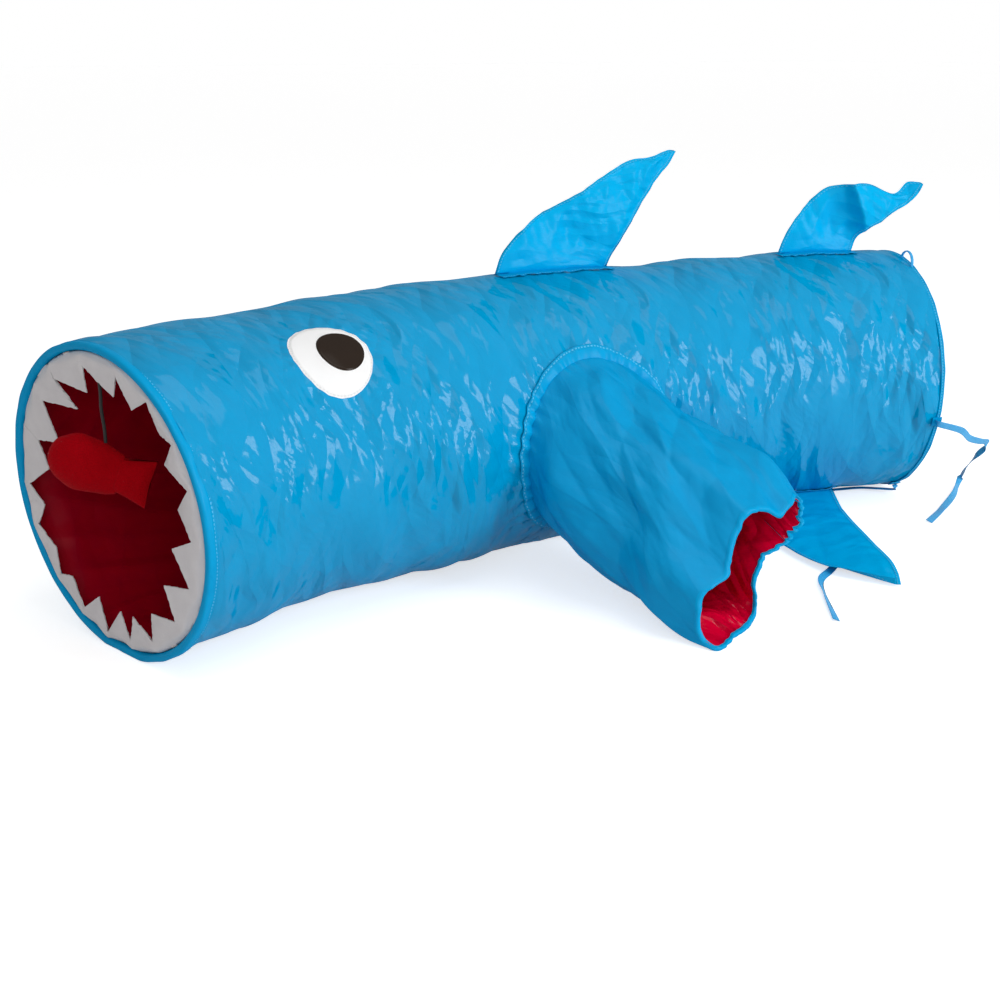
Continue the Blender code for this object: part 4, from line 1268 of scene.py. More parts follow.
@dataclass
class Teeth:
    """The strip of felt teeth inside the mouth, each cut and bent a little differently."""

    dresser: Dresser
    tube: Tube = Tube()
    station: float = -0.4192
    outer: float = 0.1189
    forward: float = 0.0040
    wall: float = 0.0012
    # The strip before it is sewn in, and its area without its notches
    flat: tuple[float, float] = (0.747, 0.040)
    flat_area: float = 0.018
    # Notch, tip, notch and so on round the mouth: roll in degrees and share of the tube's radius
    outline: tuple[tuple[float, float], ...] = (
        (157, 0.74), (147, 0.562), (135, 0.80), (112, 0.609), (119, 0.835), (95, 0.703), (95, 0.868),
        (77, 0.725), (73, 0.904), (62, 0.755), (54, 0.935), (44, 0.80), (36, 0.93), (34, 0.634), (19, 0.907),
        (10, 0.662), (-1, 0.848), (-12, 0.619), (-22, 0.858), (-36, 0.643), (-43, 0.852), (-63, 0.708),
        (-66, 0.874), (-78, 0.711), (-83, 0.887), (-90.5, 0.729), (-99, 0.905), (-110, 0.729), (-116, 0.877),
        (-130, 0.794), (-135, 0.872), (-146, 0.801), (-159, 0.883), (-167, 0.765), (-177, 0.86), (-190, 0.62),
        (-203, 0.74),
    )
    # How far each tip bends into the tunnel
    bends: tuple[float, ...] = (
        0.002, 0.004, 0.001, 0.005, 0.003, 0.006, 0.012, 0.009, 0.004, 0.001, 0.004, 0.002, 0.003, 0.004,
        0.002, 0.002, 0.003, 0.001,
    )

    def build(self) -> None:
        """Makes the ring of teeth."""
        rolls = np.radians([roll for roll, _ in self.outline])
        radii = np.array([share for _, share in self.outline]) * self.tube.radius
        feet = rolls.copy()
        feet[1::2] = (rolls[0:-1:2] + rolls[2::2]) / 2
        bends = np.zeros(len(rolls))
        bends[1::2] = self.bends
        spots = np.linspace(0.0, 1.0, len(rolls))

        def surface(u: Array, v: Array) -> Array:
            """Points of the strip, from its sewn edge to its teeth.

            Args:
                u: places across the grid, from 0 to 1.
                v: places along it, from 0 to 1.

            Returns:
                An array of points.
            """
            foot, bend = np.interp(u, spots, feet), np.interp(u, spots, bends)
            nick = 0.0005 * smooth_noise(u * 500, v * 0, 7) * v
            right, rise = (
                self.outer * way(foot) * (1 - v) + (np.interp(u, spots, radii * way(rolls)) + nick) * v
                for way in (np.cos, np.sin)
            )
            curl = bend * v**2 + 0.0006 * smooth_noise(u * 60, v * 3, 6)
            curl = curl - self.forward * soft_step(v, 0.0, 0.25)
            return self.tube.at(self.station + curl, np.arctan2(rise, right), np.hypot(right, rise))

        columns = 16 * (len(rolls) - 1)
        ring = grid_piece("felt_teeth", columns, 14, surface, (math.tau * self.outer, 0.03), hems="v")
        thicken(ring, self.wall, 0.0)
        self.dresser.dress(ring, Slot.FELT, ["teeth_ring"], "mouth_end")


@dataclass
class Toy:
    """The plush fish on its string."""

    dresser: Dresser
    string_top: Point = (-0.410736, -0.071417, 0.2264)
    string_end: Point = (-0.410736, -0.071417, 0.173627)
    string_width: float = 0.0026
    length: float = 0.057
    height: float = 0.046
    thickness: float = 0.027
    pitch: float = math.radians(20.0)
    yaw: float = math.radians(-31.0)
    tail_length: float = 0.0255
    tail_height: float = 0.040
    tail_thickness: float = 0.011
    # Points of a stuffed piece closer than this are one
    merged: float = 0.00005
    # Where the string is sewn to the back and where the body ends, as shares of a whole fish
    hang: float = 0.50
    cut: float = 0.74

    def build(self) -> None:
        """Makes the string, the body and the tail."""
        self.string()
        ahead = np.array([math.cos(self.yaw), math.sin(self.yaw), 0.0])
        across = np.array([-math.sin(self.yaw), math.cos(self.yaw), 0.0])
        up = np.array([0.0, 0.0, 1.0])
        way = ahead * math.cos(self.pitch) - up * math.sin(self.pitch)
        back = ahead * math.sin(self.pitch) + up * math.cos(self.pitch)
        stitch = way * self.length * self.hang / self.cut + back * self.height / 2 * self.swell(self.hang)
        nose = np.array(self.string_end) - stitch - up * 0.0007
        self.body(nose, way, back, across)
        self.tail(nose + way * (self.length - 0.004), way, back, across)

    def swell(self, share: Array) -> Array:
        """How far the fish swells along its length: blunt at the nose, slim at the tail."""
        share = np.clip(share, 1e-4, 0.9999)
        return np.sin(math.pi * share**0.72) ** 0.62 * (1 - 0.15 * share)

    def string(self) -> None:
        """The cord that the fish hangs on."""
        top, end = Vector(self.string_top), Vector(self.string_end)
        curve = bpy.data.curves.new("hanging_string", "CURVE")
        curve.dimensions = "3D"
        curve.bevel_depth = self.string_width / 2
        curve.bevel_resolution = 3
        curve.use_fill_caps = True
        line = curve.splines.new("POLY")
        steps = 11
        line.points.add(steps)
        for k, point in enumerate(line.points):
            share = k / steps
            sway = 0.0004 * math.sin(share * 9.0) * math.sin(share * math.pi)
            point.co = (*(top.lerp(end, share) + Vector((sway, -sway, 0.0))), 1.0)
        string = placed("hanging_string", curve)
        self.dresser.dress(string, Slot.STRING, ["toy_string"], "toy_string_body")
        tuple(self.string_top)

    def body(self, nose: Array, way: Array, back: Array, across: Array) -> None:
        """The stuffed body, with a seam along its back and belly.

        Args:
            nose: its front end.
            way: the direction from its nose to its tail.
            back: the direction to its back.
            across: the direction to its far side.
        """
        def surface(u: Array, v: Array) -> Array:
            """Points of the body.

            Args:
                u: places across the grid, from 0 to 1.
                v: places along it, from 0 to 1.

            Returns:
                An array of points.
            """
            share = 0.004 + (self.cut - 0.004) * (v * 0.985 + 0.015 * v * v)
            turn = math.tau * u
            swell = self.swell(share) * (1 - soft_step(v, 0.96, 1.0) * 0.999) ** 0.5
            slim = 1 - 0.40 * soft_step(v, 0.55, 0.97)
            seam = 1 + 0.035 * np.exp(-((np.abs(np.sin(turn)) / 0.12) ** 2))
            lumps = 1 + 0.035 * smooth_noise(np.cos(turn) * 2 + 5, v * 6 + np.sin(turn) * 2, 12)
            high = self.height / 2 * swell * np.cos(turn) * seam * lumps
            wide = self.thickness / 2 * swell * slim * np.sin(turn) * lumps
            spine = self.length * share / self.cut
            return nose + np.outer(spine, way) + np.outer(high, back) + np.outer(wide, across)

        piece = grid_piece("fish_plush_body", 48, 60, surface, (0.1, self.length))
        close(piece, self.merged)
        self.dresser.dress(piece, Slot.PLUSH, ["fish_body"], "toy_fish")

    def tail(self, root: Array, way: Array, up: Array, across: Array) -> None:
        """The tail, a thin stuffed pad that bulges between its seams.

        Args:
            root: the middle of its root.
            way: the direction to its end.
            up: the direction to its upper corner.
            across: the direction to its far side.
        """
        def surface(u: Array, v: Array) -> Array:
            """Points of the tail, across one side and back across the other.

            Args:
                u: places across the grid, from 0 to 1.
                v: places along it, from 0 to 1.

            Returns:
                An array of points.
            """
            side = np.where(v < 0.5, 1.0, -1.0)
            place = np.where(v < 0.5, 4 * v - 1, 3 - 4 * v)
            end = np.interp(np.abs(place), [0.0, 0.6, 1.0], [0.95, 0.98, 1.0])
            spine = self.tail_length * end * u
            fan = np.interp(u, [0.0, 0.4, 1.0], [0.70, 0.80, 1.0])
            high = self.tail_height / 2 * fan * place
            pad = (1 - place**2) ** 0.5 * np.minimum(1.0, (1 - u) / 0.25) ** 0.5
            half = (self.tail_thickness / 2 * (1.1 - 0.5 * u) * pad + 0.0002) * side
            return root + np.outer(spine, way) + np.outer(high, up) + np.outer(half, across)

        piece = grid_piece("fish_plush_tail", 24, 64, surface, (0.03, 0.06))
        close(piece, self.merged)
        self.dresser.dress(piece, Slot.PLUSH, ["fish_tail"], "toy_fish")


@dataclass
class Patches:
    """The eyes and the strips that hold the fins: second cloths that are sewn to the skin."""

    dresser: Dresser
    skin: Skin = Skin()
    wall: float = 0.0006
    strip_width: float = 0.016
    strip_lift: float = 0.0012
    # The turn towards which an eye bulges
    egg_turn: float = 1.95

    def stretch(self, roll: float) -> float:
        """The length of the cloth at a roll, as a share of its length along the centreline of the bend."""
        return 1 - self.skin.tube.radius * math.cos(roll) / self.skin.tube.bend

    def oval(self, name: str, centre: tuple[float, float], halves: tuple[float, float], lift: float,
             egg: float, slot: Slot, node: str) -> None:
        """A sewn oval patch.

        Args:
            name: the piece's name.
            centre: its station and roll.
            halves: its half length and half height.
            lift: how far it lies above the cloth.
            egg: how much its lower rear bulges.
            slot: its finish.
            node: the CAD node that it stands for.
        """
        tube = self.skin.tube
        upwards = -1.0 if math.cos(centre[1]) < 0 else 1.0

        def surface(u: Array, v: Array) -> Array:
            """Points of the patch, from its middle to its edge.

            Args:
                u: places across the grid, from 0 to 1.
                v: places along it, from 0 to 1.

            Returns:
                An array of points.
            """
            turn = math.tau * u
            shape = 1 + egg * np.cos(turn + self.egg_turn) ** 3 + 0.015 * np.sin(3 * turn + 1)
            along = centre[0] + halves[0] * v * np.cos(turn) * shape / self.stretch(centre[1])
            roll = centre[1] + upwards * halves[1] * v * np.sin(turn) * shape / tube.radius
            return self.skin.at(along, roll, lift * (1 - soft_step(v, 0.93, 1.0) * 0.6))

        def seam(u: Array, v: Array) -> Array:
            """The run round the patch and the distance from its edge."""
            return np.stack([u * math.pi * (halves[0] + halves[1]), (1 - v) * halves[1]], -1)

        piece = grid_piece(name, 96, 26, surface, (0.2, halves[1]), seam, flip=upwards > 0, hems="v")
        thicken(piece, self.wall)
        self.dresser.dress(piece, slot, [node])
        Panel.FRONT.bend(piece, tube)

    def strip(self, name: str, station: float, roll: float, length: float, panel: Panel, node: str) -> None:
        """The strip along a fin's root.

        Args:
            name: the piece's name.
            station: its middle along the tunnel.
            roll: its place round the tunnel.
            length: its length.
            panel: the panel that it is sewn to.
            node: the CAD node that it stands for.
        """
        tube, width = self.skin.tube, self.strip_width

        def surface(u: Array, v: Array) -> Array:
            """Points of the strip.

            Args:
                u: places across the grid, from 0 to 1.
                v: places along it, from 0 to 1.

            Returns:
                An array of points.
            """
            along = station + length * (u - 0.5) / self.stretch(roll)
            edge = np.abs(2 * v - 1)
            ruffle = (0.0005 + 0.0006 * smooth_noise(u * 30, v * 0, 14)) * edge
            across = width * (v - 0.5) + 0.0016 * smooth_noise(u * 18, v * 0, 15) * edge
            return self.skin.at(along, roll + across / tube.radius, self.strip_lift + ruffle)

        def seam(u: Array, v: Array) -> Array:
            """The run along the strip and the distance from its nearer edge."""
            return np.stack([u * length, np.minimum(v, 1 - v) * width], -1)

        piece = grid_piece(name, 60, 8, surface, (length, width), seam, hems="uv")
        thicken(piece, self.wall)
        self.dresser.dress(piece, Slot.BAND, [node])
        panel.bend(piece, tube)

    def build(self) -> None:
        """Makes the four eye pieces and the four strips."""
        for side, start, sign in (("near", 0.0, 1.0), ("far", 180.0, -1.0)):
            for name, node, slot, station, roll, halves, lift, egg in (
                ("eye", "eye_white", Slot.EYE_WHITE, -0.2548, 53.2, (0.0338, 0.0354), 0.0010, 0.080),
                ("iris", "eye_pupil", Slot.PUPIL, -0.2446, 54.2, (0.0197, 0.0195), 0.0020, 0.02),
            ):
                centre = (station, math.radians(start + sign * roll))
                self.oval(f"{side}_{name}", centre, halves, lift, egg, slot, f"{side}_{node}")
        # The strips on top lie folded a little to the near side
        top = QUARTER - 0.028
        for name, station, roll, length, panel in (
            ("dorsal", 0.034, top, 0.124, Panel.MIDDLE), ("tail", 0.332, top, 0.088, Panel.REAR),
            ("near_side", 0.277, math.radians(-60.0), 0.120, Panel.REAR),
            ("far_side", 0.277, math.radians(240.0), 0.120, Panel.REAR),
        ):
            self.strip(f"{name}_strip", station, roll, length, panel, f"{name}_flange")


@dataclass(frozen=True)
class Outline:
    """A flat fin, as two edges from its root to its tip.

    Attributes:
        front: points of the front edge.
        rear: as many points of the rear edge.
        reach: the fin's length.
    """

    front: Array
    rear: Array
    reach: float

    @property
    def widths(self) -> Array:
        """The fin's width at each pair of points."""
        return np.linalg.norm(self.rear - self.front, axis=1)

    def width(self, u: Array) -> Array:
        """The fin's width at shares of its length."""
        return np.interp(u, np.linspace(0.0, 1.0, len(self.front)), self.widths)

    def lay(self, u: Array, v: Array) -> tuple[Array, Array, Array]:
        """Wraps a grid once round the fin.

        Args:
            u: shares of its length.
            v: shares of the way across one side and back across the other.

        Returns:
            The flat points, their shares of the way from the front edge to the rear one, and their side as
            -1 or 1.
        """
        share = 1 - np.abs(2 * v - 1)
        front, rear = along_curve(self.front, u), along_curve(self.rear, u)
        return front + (rear - front) * share[:, None], share, np.where(v < 0.5, -1.0, 1.0)

    def seam(self, u: Array, v: Array) -> Array:
        """The run from the root and the distance from the nearer edge."""
        share = 1 - np.abs(2 * v - 1)
        return np.stack([u * self.reach, np.minimum(share, 1 - share) * self.width(u)], -1)


@dataclass
class Fins:
    """The two upright fins and the two side fins: double satin with a sewn edge."""

    dresser: Dresser
    skin: Skin = Skin()
    plump: float = 0.0012
    thin: float = 0.0004
    # Points of a fin closer than this are one
    merged: float = 0.00002
    sewn: float = 0.0035
    # The height of the upright fins' root line
    base: float = 0.2496
    folds: tuple[Creases, ...] = (
        Creases(Fold.VALLEY, 0.026, 0.080, 0.0034, -0.50, 0.014, 131),
        Creases(Fold.SOFT, 0.040, 0.080, 0.0036, 0.60, 0.020, 137),
        Creases(Fold.RIDGE, 0.013, 0.040, 0.0011, 0.20, 0.010, 149),
    )
    side_station: float = 0.267
    side_reach: float = 0.215
    side_front: tuple[tuple[float, float], ...] = (
        (0.000, -0.054), (0.036, -0.056), (0.072, -0.055), (0.104, -0.053), (0.135, -0.051), (0.170, -0.042),
        (0.196, -0.022), (0.215, -0.004),
    )
    side_rear: tuple[tuple[float, float], ...] = (
        (0.000, 0.070), (0.036, 0.060), (0.072, 0.049), (0.104, 0.040), (0.135, 0.031), (0.170, 0.022),
        (0.196, 0.012), (0.217, 0.0),
    )
    # The side fins' root: its distance from the tube's axis, and how far it lies below it
    side_root: float = 0.1260
    side_turn: float = math.radians(60)
    ripple: Creases = Creases(Fold.SOFT, 0.045, 0.16, 0.0030, 0.4, 0.02, 91)

    def half(self, outline: Outline, u: Array, share: Array) -> Array:
        """Half the thickness of a fin.

        Args:
            outline: its outline.
            u: shares of its length.
            share: shares of the way across it.

        Returns:
            The half thickness at each place.
        """
        off = np.minimum(np.minimum(share, 1 - share) * outline.width(u), (1 - u) * outline.reach)
        cloth = self.thin * soft_step(off, 0.0, 0.0006)
        padding = self.plump * soft_step(off, self.sewn, self.sewn + 0.012)
        return (cloth + padding) * soft_step(u, -0.001, 0.02)

    def upright(self, name: str, station: float, front: Sequence, rear: Sequence, shape: Surface,
                panel: Panel) -> None:
        """A fin that stands on the tunnel's top.

        Args:
            name: the name of its CAD node, with which its piece's and its body's names start.
            station: the middle of its root.
            front: its front edge from root to tip, along the tunnel and up.
            rear: its rear edge from root to tip.
            shape: how far it leans out of its plane at each place along and up.
            panel: the panel that it is sewn to.
        """
        tube = self.skin.tube
        ahead, far = (np.array(way) for way in tube.heading(station))
        foot = tube.at(station, QUARTER, 0.0)
        edges = [smooth_curve(edge, EDGE_POINTS) for edge in (front, rear)]
        outline = Outline(*edges, float(np.linalg.norm(edges[0][-1] - edges[0][0])))

        def surface(u: Array, v: Array) -> Array:
            """Points of the fin.

            Args:
                u: places across the grid, from 0 to 1.
                v: places along it, from 0 to 1.

            Returns:
                An array of points.
            """
            flat, share, side = outline.lay(u, v)
            x, y = flat[:, 0], flat[:, 1]
            limp = sum(layer(x, y) for layer in self.folds) * soft_step(u, 0.02, 0.25)
            lean = shape(x, y) * soft_step(u, 0.0, 0.15) + limp
            top = self.skin.at(station + x, np.full_like(x, QUARTER), 0.0010)[:, 2]
            low = 1 - soft_step(u, 0.0, 0.18)
            height = (self.base + y) * (1 - low) + (top + np.maximum(y, 0.0)) * low
            spot = foot + np.outer(x, ahead) + np.outer(self.half(outline, u, share) * side + lean, far)
            return np.stack([spot[:, 0], spot[:, 1], height], -1)

        size = (outline.reach, 2 * float(outline.widths.max()))
        self.finish(grid_piece(f"{name}_satin", 90, 96, surface, size, outline.seam), name, panel, QUARTER)

    def finish(self, piece: bpy.types.Object, name: str, panel: Panel, roll: float) -> None:
        """Turns a fin's faces out, dresses it, and gives it a mesh of its own.

        Args:
            piece: the fin.
            name: the name of its CAD node, with which its body's name starts.
            panel: the panel that it is sewn to.
            roll: the place of its root round the tunnel.
        """
        tube = self.skin.tube
        close(piece, self.merged, fill=False)
        self.dresser.dress(piece, Slot.SATIN, [name], f"{name}_body")
        middle = panel.start + tube.panel / 2
        tuple(tube.heading(middle)[0])
        tuple(tube.at(middle, roll, tube.radius))
        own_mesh(piece)

    def side(self, name: str, turned: float) -> None:
        """A fin that slopes from its root under the tunnel to the floor.

        Args:
            name: the name of its CAD node, with which its piece's and its body's names start.
            turned: 1 for the near one and -1 for the far one.
        """
        tube = self.skin.tube
        edges = [smooth_curve(edge, EDGE_POINTS) for edge in (self.side_front, self.side_rear)]
        outline = Outline(*edges, self.side_reach)
        root_out = self.side_root * math.cos(self.side_turn)
        root_height = tube.axis_height - self.side_root * math.sin(self.side_turn)

        def surface(u: Array, v: Array) -> Array:
            """Points of the fin, down a slope at its root and then flat on the floor.

            Args:
                u: places across the grid, from 0 to 1.
                v: places along it, from 0 to 1.

            Returns:
                An array of points.
            """
            flat, share, side = outline.lay(u, v)
            out, along = flat[:, 0], flat[:, 1]
            slope = np.clip(1 - out / 0.036, 0.0, None)
            fall = soft_step(out, 0.170, 0.215)
            middle = 0.0042 + (root_height - 0.0042) * slope**1.3 - 0.0030 * fall
            wave = np.abs(self.ripple(along, out)) * soft_step(u, 0.12, 0.3)
            curl = 0.006 * soft_step(0.25 - share, 0.0, 0.25) * soft_step(u, 0.55, 0.9)
            height = middle + self.half(outline, u, share) * side + wave + curl
            height = np.maximum(height, 0.0004 + 0.0003 * (side + 1))
            reach = turned * (root_out + out)
            turn = (self.side_station + along / (1 - reach / tube.bend)) / tube.bend
            away = tube.bend - reach
            return np.stack([np.sin(turn) * away, np.cos(turn) * away - tube.bend, height], -1)

        piece = grid_piece(f"{name}_satin", 96, 72, surface, (self.side_reach, 0.24), outline.seam)
        self.finish(piece, name, Panel.REAR, math.radians(-60.0 if turned > 0 else 240.0))

    @staticmethod
    def leaning(x: Array, y: Array) -> Array:
        """How far the dorsal fin leans."""
        return 0.004 * np.sin(x * 34 + 0.4) * (y / 0.10) + 0.005 * (y / 0.1) ** 2

    @staticmethod
    def folded_over(x: Array, y: Array) -> Array:
        """How far the tail fin leans: its tip flops over a fold from its crest to its rear edge.

        Args:
            x: places along the tunnel.
            y: heights above its root line.

        Returns:
            One distance for each place.
        """
        past = x - 0.031 - (0.070 - y) * 0.43
        fold = -0.011 * np.exp(-np.where(past < 0, -past / 0.007, past / 0.024))
        return fold * np.clip(y / 0.03, 0.0, 1.0) - 0.010 * soft_step(x, 0.085, 0.12)

    def build(self) -> None:
        """Makes the four fins."""
        self.upright(
            "dorsal_fin", 0.034,
            [(-0.064, 0.0), (-0.054, 0.024), (-0.028, 0.048), (0.018, 0.067), (0.082, 0.097), (0.109, 0.101),
             (0.130, 0.107), (0.138, 0.1065)],
            [(0.060, 0.0), (0.068, 0.016), (0.086, 0.041), (0.115, 0.076), (0.132, 0.093), (0.1405, 0.1055)],
            self.leaning, Panel.MIDDLE,
        )
        self.upright(
            "tail_fin", 0.332,
            [(-0.0425, 0.0), (-0.036, 0.018), (-0.026, 0.035), (0.002, 0.062), (0.020, 0.069), (0.050, 0.070),
             (0.084, 0.0585), (0.0985, 0.0695), (0.112, 0.0695)],
            [(0.0425, 0.0), (0.051, 0.021), (0.077, 0.035), (0.100, 0.047), (0.109, 0.056), (0.1155, 0.0675)],
            self.folded_over, Panel.REAR,
        )
        self.side("near_side_fin", 1.0)
        self.side("far_side_fin", -1.0)


@dataclass
class Sleeve:
    """The limp side sleeve, its lining, its hem and the band round its seam."""

    dresser: Dresser
    skin: Skin = Skin()
    radius: float = 0.0735
    band: float = 0.0105
    # The radius of the band's middle line
    band_radius: float = 0.079
    wall: float = 0.0007
    collar_wall: float = 0.0004
    collar_depth: float = 0.0011
    lining_depth: float = 0.0020
    # The radius at which the folds are measured out
    fold_radius: float = 0.066
    # Round the mouth: turn in degrees from the tail side over the top, and the edge's place
    mouth: tuple[tuple[float, float, float, float], ...] = (
        (0, 0.083, -0.284, 0.065), (28, 0.096, -0.279, 0.079), (55, 0.101, -0.274, 0.097),
        (72, 0.085, -0.282, 0.097), (86, 0.070, -0.284, 0.092), (112, 0.039, -0.284, 0.100),
        (132, 0.022, -0.286, 0.084), (148, 0.013, -0.290, 0.068), (162, 0.005, -0.295, 0.055),
        (182, -0.016, -0.297, 0.043), (210, -0.019, -0.300, 0.010), (232, -0.009, -0.312, 0.0012),
        (258, 0.017, -0.300, 0.0012), (285, 0.042, -0.291, 0.0012), (300, 0.053, -0.286, 0.008),
        (322, 0.050, -0.286, 0.036), (342, 0.0615, -0.285, 0.057),
    )
    # The outward bulge halfway along, by turn in degrees
    bulges: tuple[tuple[float, float], ...] = (
        (0, 0.004), (45, 0.011), (80, 0.006), (130, 0.002), (175, 0.002), (205, 0.008), (240, 0.011),
        (290, 0.003), (360, 0.004),
    )
    folds: tuple[Creases, ...] = (
        Creases(Fold.SOFT, 0.050, 0.080, 0.0034, -0.30, 0.030, 97),
        Creases(Fold.FACET, 0.032, 0.085, 0.0085, -0.55, 0.012, 101),
        Creases(Fold.VALLEY, 0.036, 0.110, 0.0050, -0.75, 0.022, 113),
        Creases(Fold.FACET, 0.013, 0.036, 0.0022, -0.35, 0.006, 127),
    )
    reach: float = 0.19
    collar: float = 0.040
    ragged: float = 0.0030
    frayed_turn: float = math.radians(20.0)
    hem_run: float = 0.42
    hem_width: float = 0.010
    hem_wall: float = 0.0005
    # Across the hem: along the sleeve and out of it
    hem_profile: tuple[tuple[float, float], ...] = (
        (-0.016, 0.0005), (-0.006, 0.0007), (0.000, 0.0005), (0.0012, -0.0008), (0.000, -0.0024),
        (-0.006, -0.0028), (-0.014, -0.0028),
    )

    def mouth_at(self, turn: Array) -> Array:
        """The points of the mouth's edge.

        Args:
            turn: turns round it, from 0 to a full turn.

        Returns:
            An array of points.
        """
        table = np.array(self.mouth)
        before, after = table[-2:] - (360.0, 0, 0, 0), table[:3] + (360.0, 0, 0, 0)
        whole = np.vstack([before, table, after]) * (math.radians(1.0) * self.radius, 1, 1, 1)
        edge = smooth_curve(whole, 700)
        spots = edge[:, 0] / self.radius
        frayed = 0.3 + soft_step(np.cos(turn - self.frayed_turn), 0.5, 0.9)
        rough = smooth_noise(turn * 9, turn * 0, 61) + 0.6 * facets(turn * 21, turn * 0, 62)
        line = np.stack([np.interp(turn, spots, edge[:, k]) for k in (1, 2, 3)], -1)
        return line + np.outer(self.ragged * frayed * rough, (0.25, -0.93, -0.20))

    def round_hole(self, turn: Array, radius: Array | float) -> tuple[Array, Array]:
        """The stations and rolls of places at turns round the hole and distances from its middle."""
        x, z = radius * np.cos(turn), self.skin.hole_height + radius * np.sin(turn)
        return self.skin.tube.behind(x, z, NEAR_SIDE)

    def point(self, turn: Array, share: Array, depth: float) -> Array:
        """Points of the sleeve.

        Args:
            turn: the turn round it.
            share: 0 at the seam and 1 at the mouth.
            depth: how far inside the outer cloth.

        Returns:
            An array of points.
        """
        turn = np.mod(turn, math.tau)
        along, roll = self.round_hole(turn, self.radius)
        seam = self.skin.at(along, roll, 0.0008)
        plain = self.skin.tube.at(along, roll, self.skin.tube.radius)
        start = plain + (seam - plain) * (1 - soft_step(share, 0.0, 0.10))[:, None]
        outward = np.stack([np.cos(turn), np.zeros_like(turn), np.sin(turn)], -1)
        bulge = np.interp(np.degrees(turn), *np.array(self.bulges).T)
        bulge = bulge * np.clip(np.sin(math.pi * np.clip(share, 0.0, 1.0)), 0.0, 1.0) ** 0.8
        folds = meeting(self.folds, turn * self.fold_radius, share * self.reach, soft_step(turn, 0.0, JOIN),
                        (math.tau * self.fold_radius, 0.0))
        held = soft_step(share, 0.0, 0.20) * (1 - 0.60 * soft_step(share, 0.72, 1.0))
        spot = start + (self.mouth_at(turn) - start) * share[:, None]
        spot += outward * (bulge + folds * held - depth)[:, None]
        spot[:, 2] = np.maximum(spot[:, 2], 0.0006 + depth)
        return spot

    def seam_band(self) -> None:
        """The band round the sleeve's seam."""
        girth = math.tau * self.radius

        def surface(u: Array, v: Array) -> Array:
            """Points of the band.

            Args:
                u: places across the grid, from 0 to 1.
                v: places along it, from 0 to 1.

            Returns:
                An array of points.
            """
            turn = math.tau * u
            wave = 0.0007 * smooth_noise(u * 24, v * 0, 18) * soft_step(v, 0.4, 1.0)
            crown = 0.0014 + 0.0012 * np.sin(math.pi * np.clip(v, 0.0, 1.0)) ** 0.5
            along, roll = self.round_hole(turn, self.radius - 0.0010 + self.band * v + wave)
            return self.skin.at(along, roll, crown)

        def seam(u: Array, v: Array) -> Array:
            """The run round the band and the distance from its sewn edge."""
            return np.stack([u * girth, (1 - v) * self.band], -1)

        band = grid_piece("sleeve_seam_band", 240, 10, surface, (girth, self.band), seam, flip=True, hems="v")
        thicken(band, self.wall)
        self.dresser.dress(band, Slot.BAND, ["sleeve_band"])
        Panel.MIDDLE.bend(band, self.skin.tube)

    def layer(self, name: str, depth: float, run: float, steps: tuple[int, int], wall: float
              ) -> bpy.types.Object:
        """One layer of the sleeve, from its seam outwards.

        Args:
            name: the piece's name.
            depth: how far inside the outer cloth.
            run: its length.
            steps: columns and rows of its grid.
            wall: its thickness.

        Returns:
            The piece.
        """
        def surface(u: Array, v: Array) -> Array:
            """Points of the layer."""
            return self.point(math.tau * u, v * run / self.reach, depth)

        size = (-math.tau * self.radius, run)
        return thicken(grid_piece(name, *steps, surface, size, flip=True), wall)

    def build(self) -> None:
        """Makes the band, the collar, the sleeve, its lining and its hem."""
        self.seam_band()
        # It stays at the seam when the sleeve lifts, and closes the gap that would open there
        collar = self.layer("sleeve_collar", self.collar_depth, self.collar, (230, 20), self.collar_wall)
        self.dresser.dress(collar, Slot.SLEEVE, body="middle_panel")
        self.flatten(collar)

        for name, depth, slot, node, steps in (
            ("sleeve_outer", 0.0, Slot.SLEEVE, "sleeve_cloth", (300, 130)),
            ("sleeve_inner", self.lining_depth, Slot.RED, "sleeve_lining", (230, 90)),
        ):
            piece = self.layer(name, depth, self.reach, steps, self.wall)
            self.dresser.dress(piece, slot, [node], "sleeve_body")
            self.flatten(piece)
        self.hem()

    def hem(self) -> None:
        """The folded edge of the sleeve's mouth."""
        path = smooth_curve(self.hem_profile, 15)

        def surface(u: Array, v: Array) -> Array:
            """Points of the hem, which is folded over the mouth's edge.

            Args:
                u: places across the grid, from 0 to 1.
                v: places along it, from 0 to 1.

            Returns:
                An array of points.
            """
            along, out = along_curve(path, v).T
            turn = math.tau * u
            spot = self.point(turn, np.clip(1 + along * 0.9, 0.0, 1.01), 0.0)
            spot += np.stack([np.cos(turn), np.zeros_like(turn), np.sin(turn)], -1) * out[:, None]
            spot[:, 2] = np.maximum(spot[:, 2], 0.0004)
            return spot

        def seam(u: Array, v: Array) -> Array:
            """The run round the mouth, and a distance that lies past the row of stitches."""
            return np.stack([u * self.hem_run, 0.02 + v * 0.012], -1)

        size = (self.hem_run, 0.012)
        hem = grid_piece("sleeve_hem_edge", 260, 14, surface, size, seam, flip=True, hems="v")
        thicken(hem, self.hem_wall)
        self.dresser.dress(hem, Slot.BAND, ["sleeve_hem"], "sleeve_body")
        self.flatten(hem)

    def flatten(self, piece: bpy.types.Object) -> None:
        """Gives a piece of the sleeve a mesh of its own."""
        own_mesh(piece)


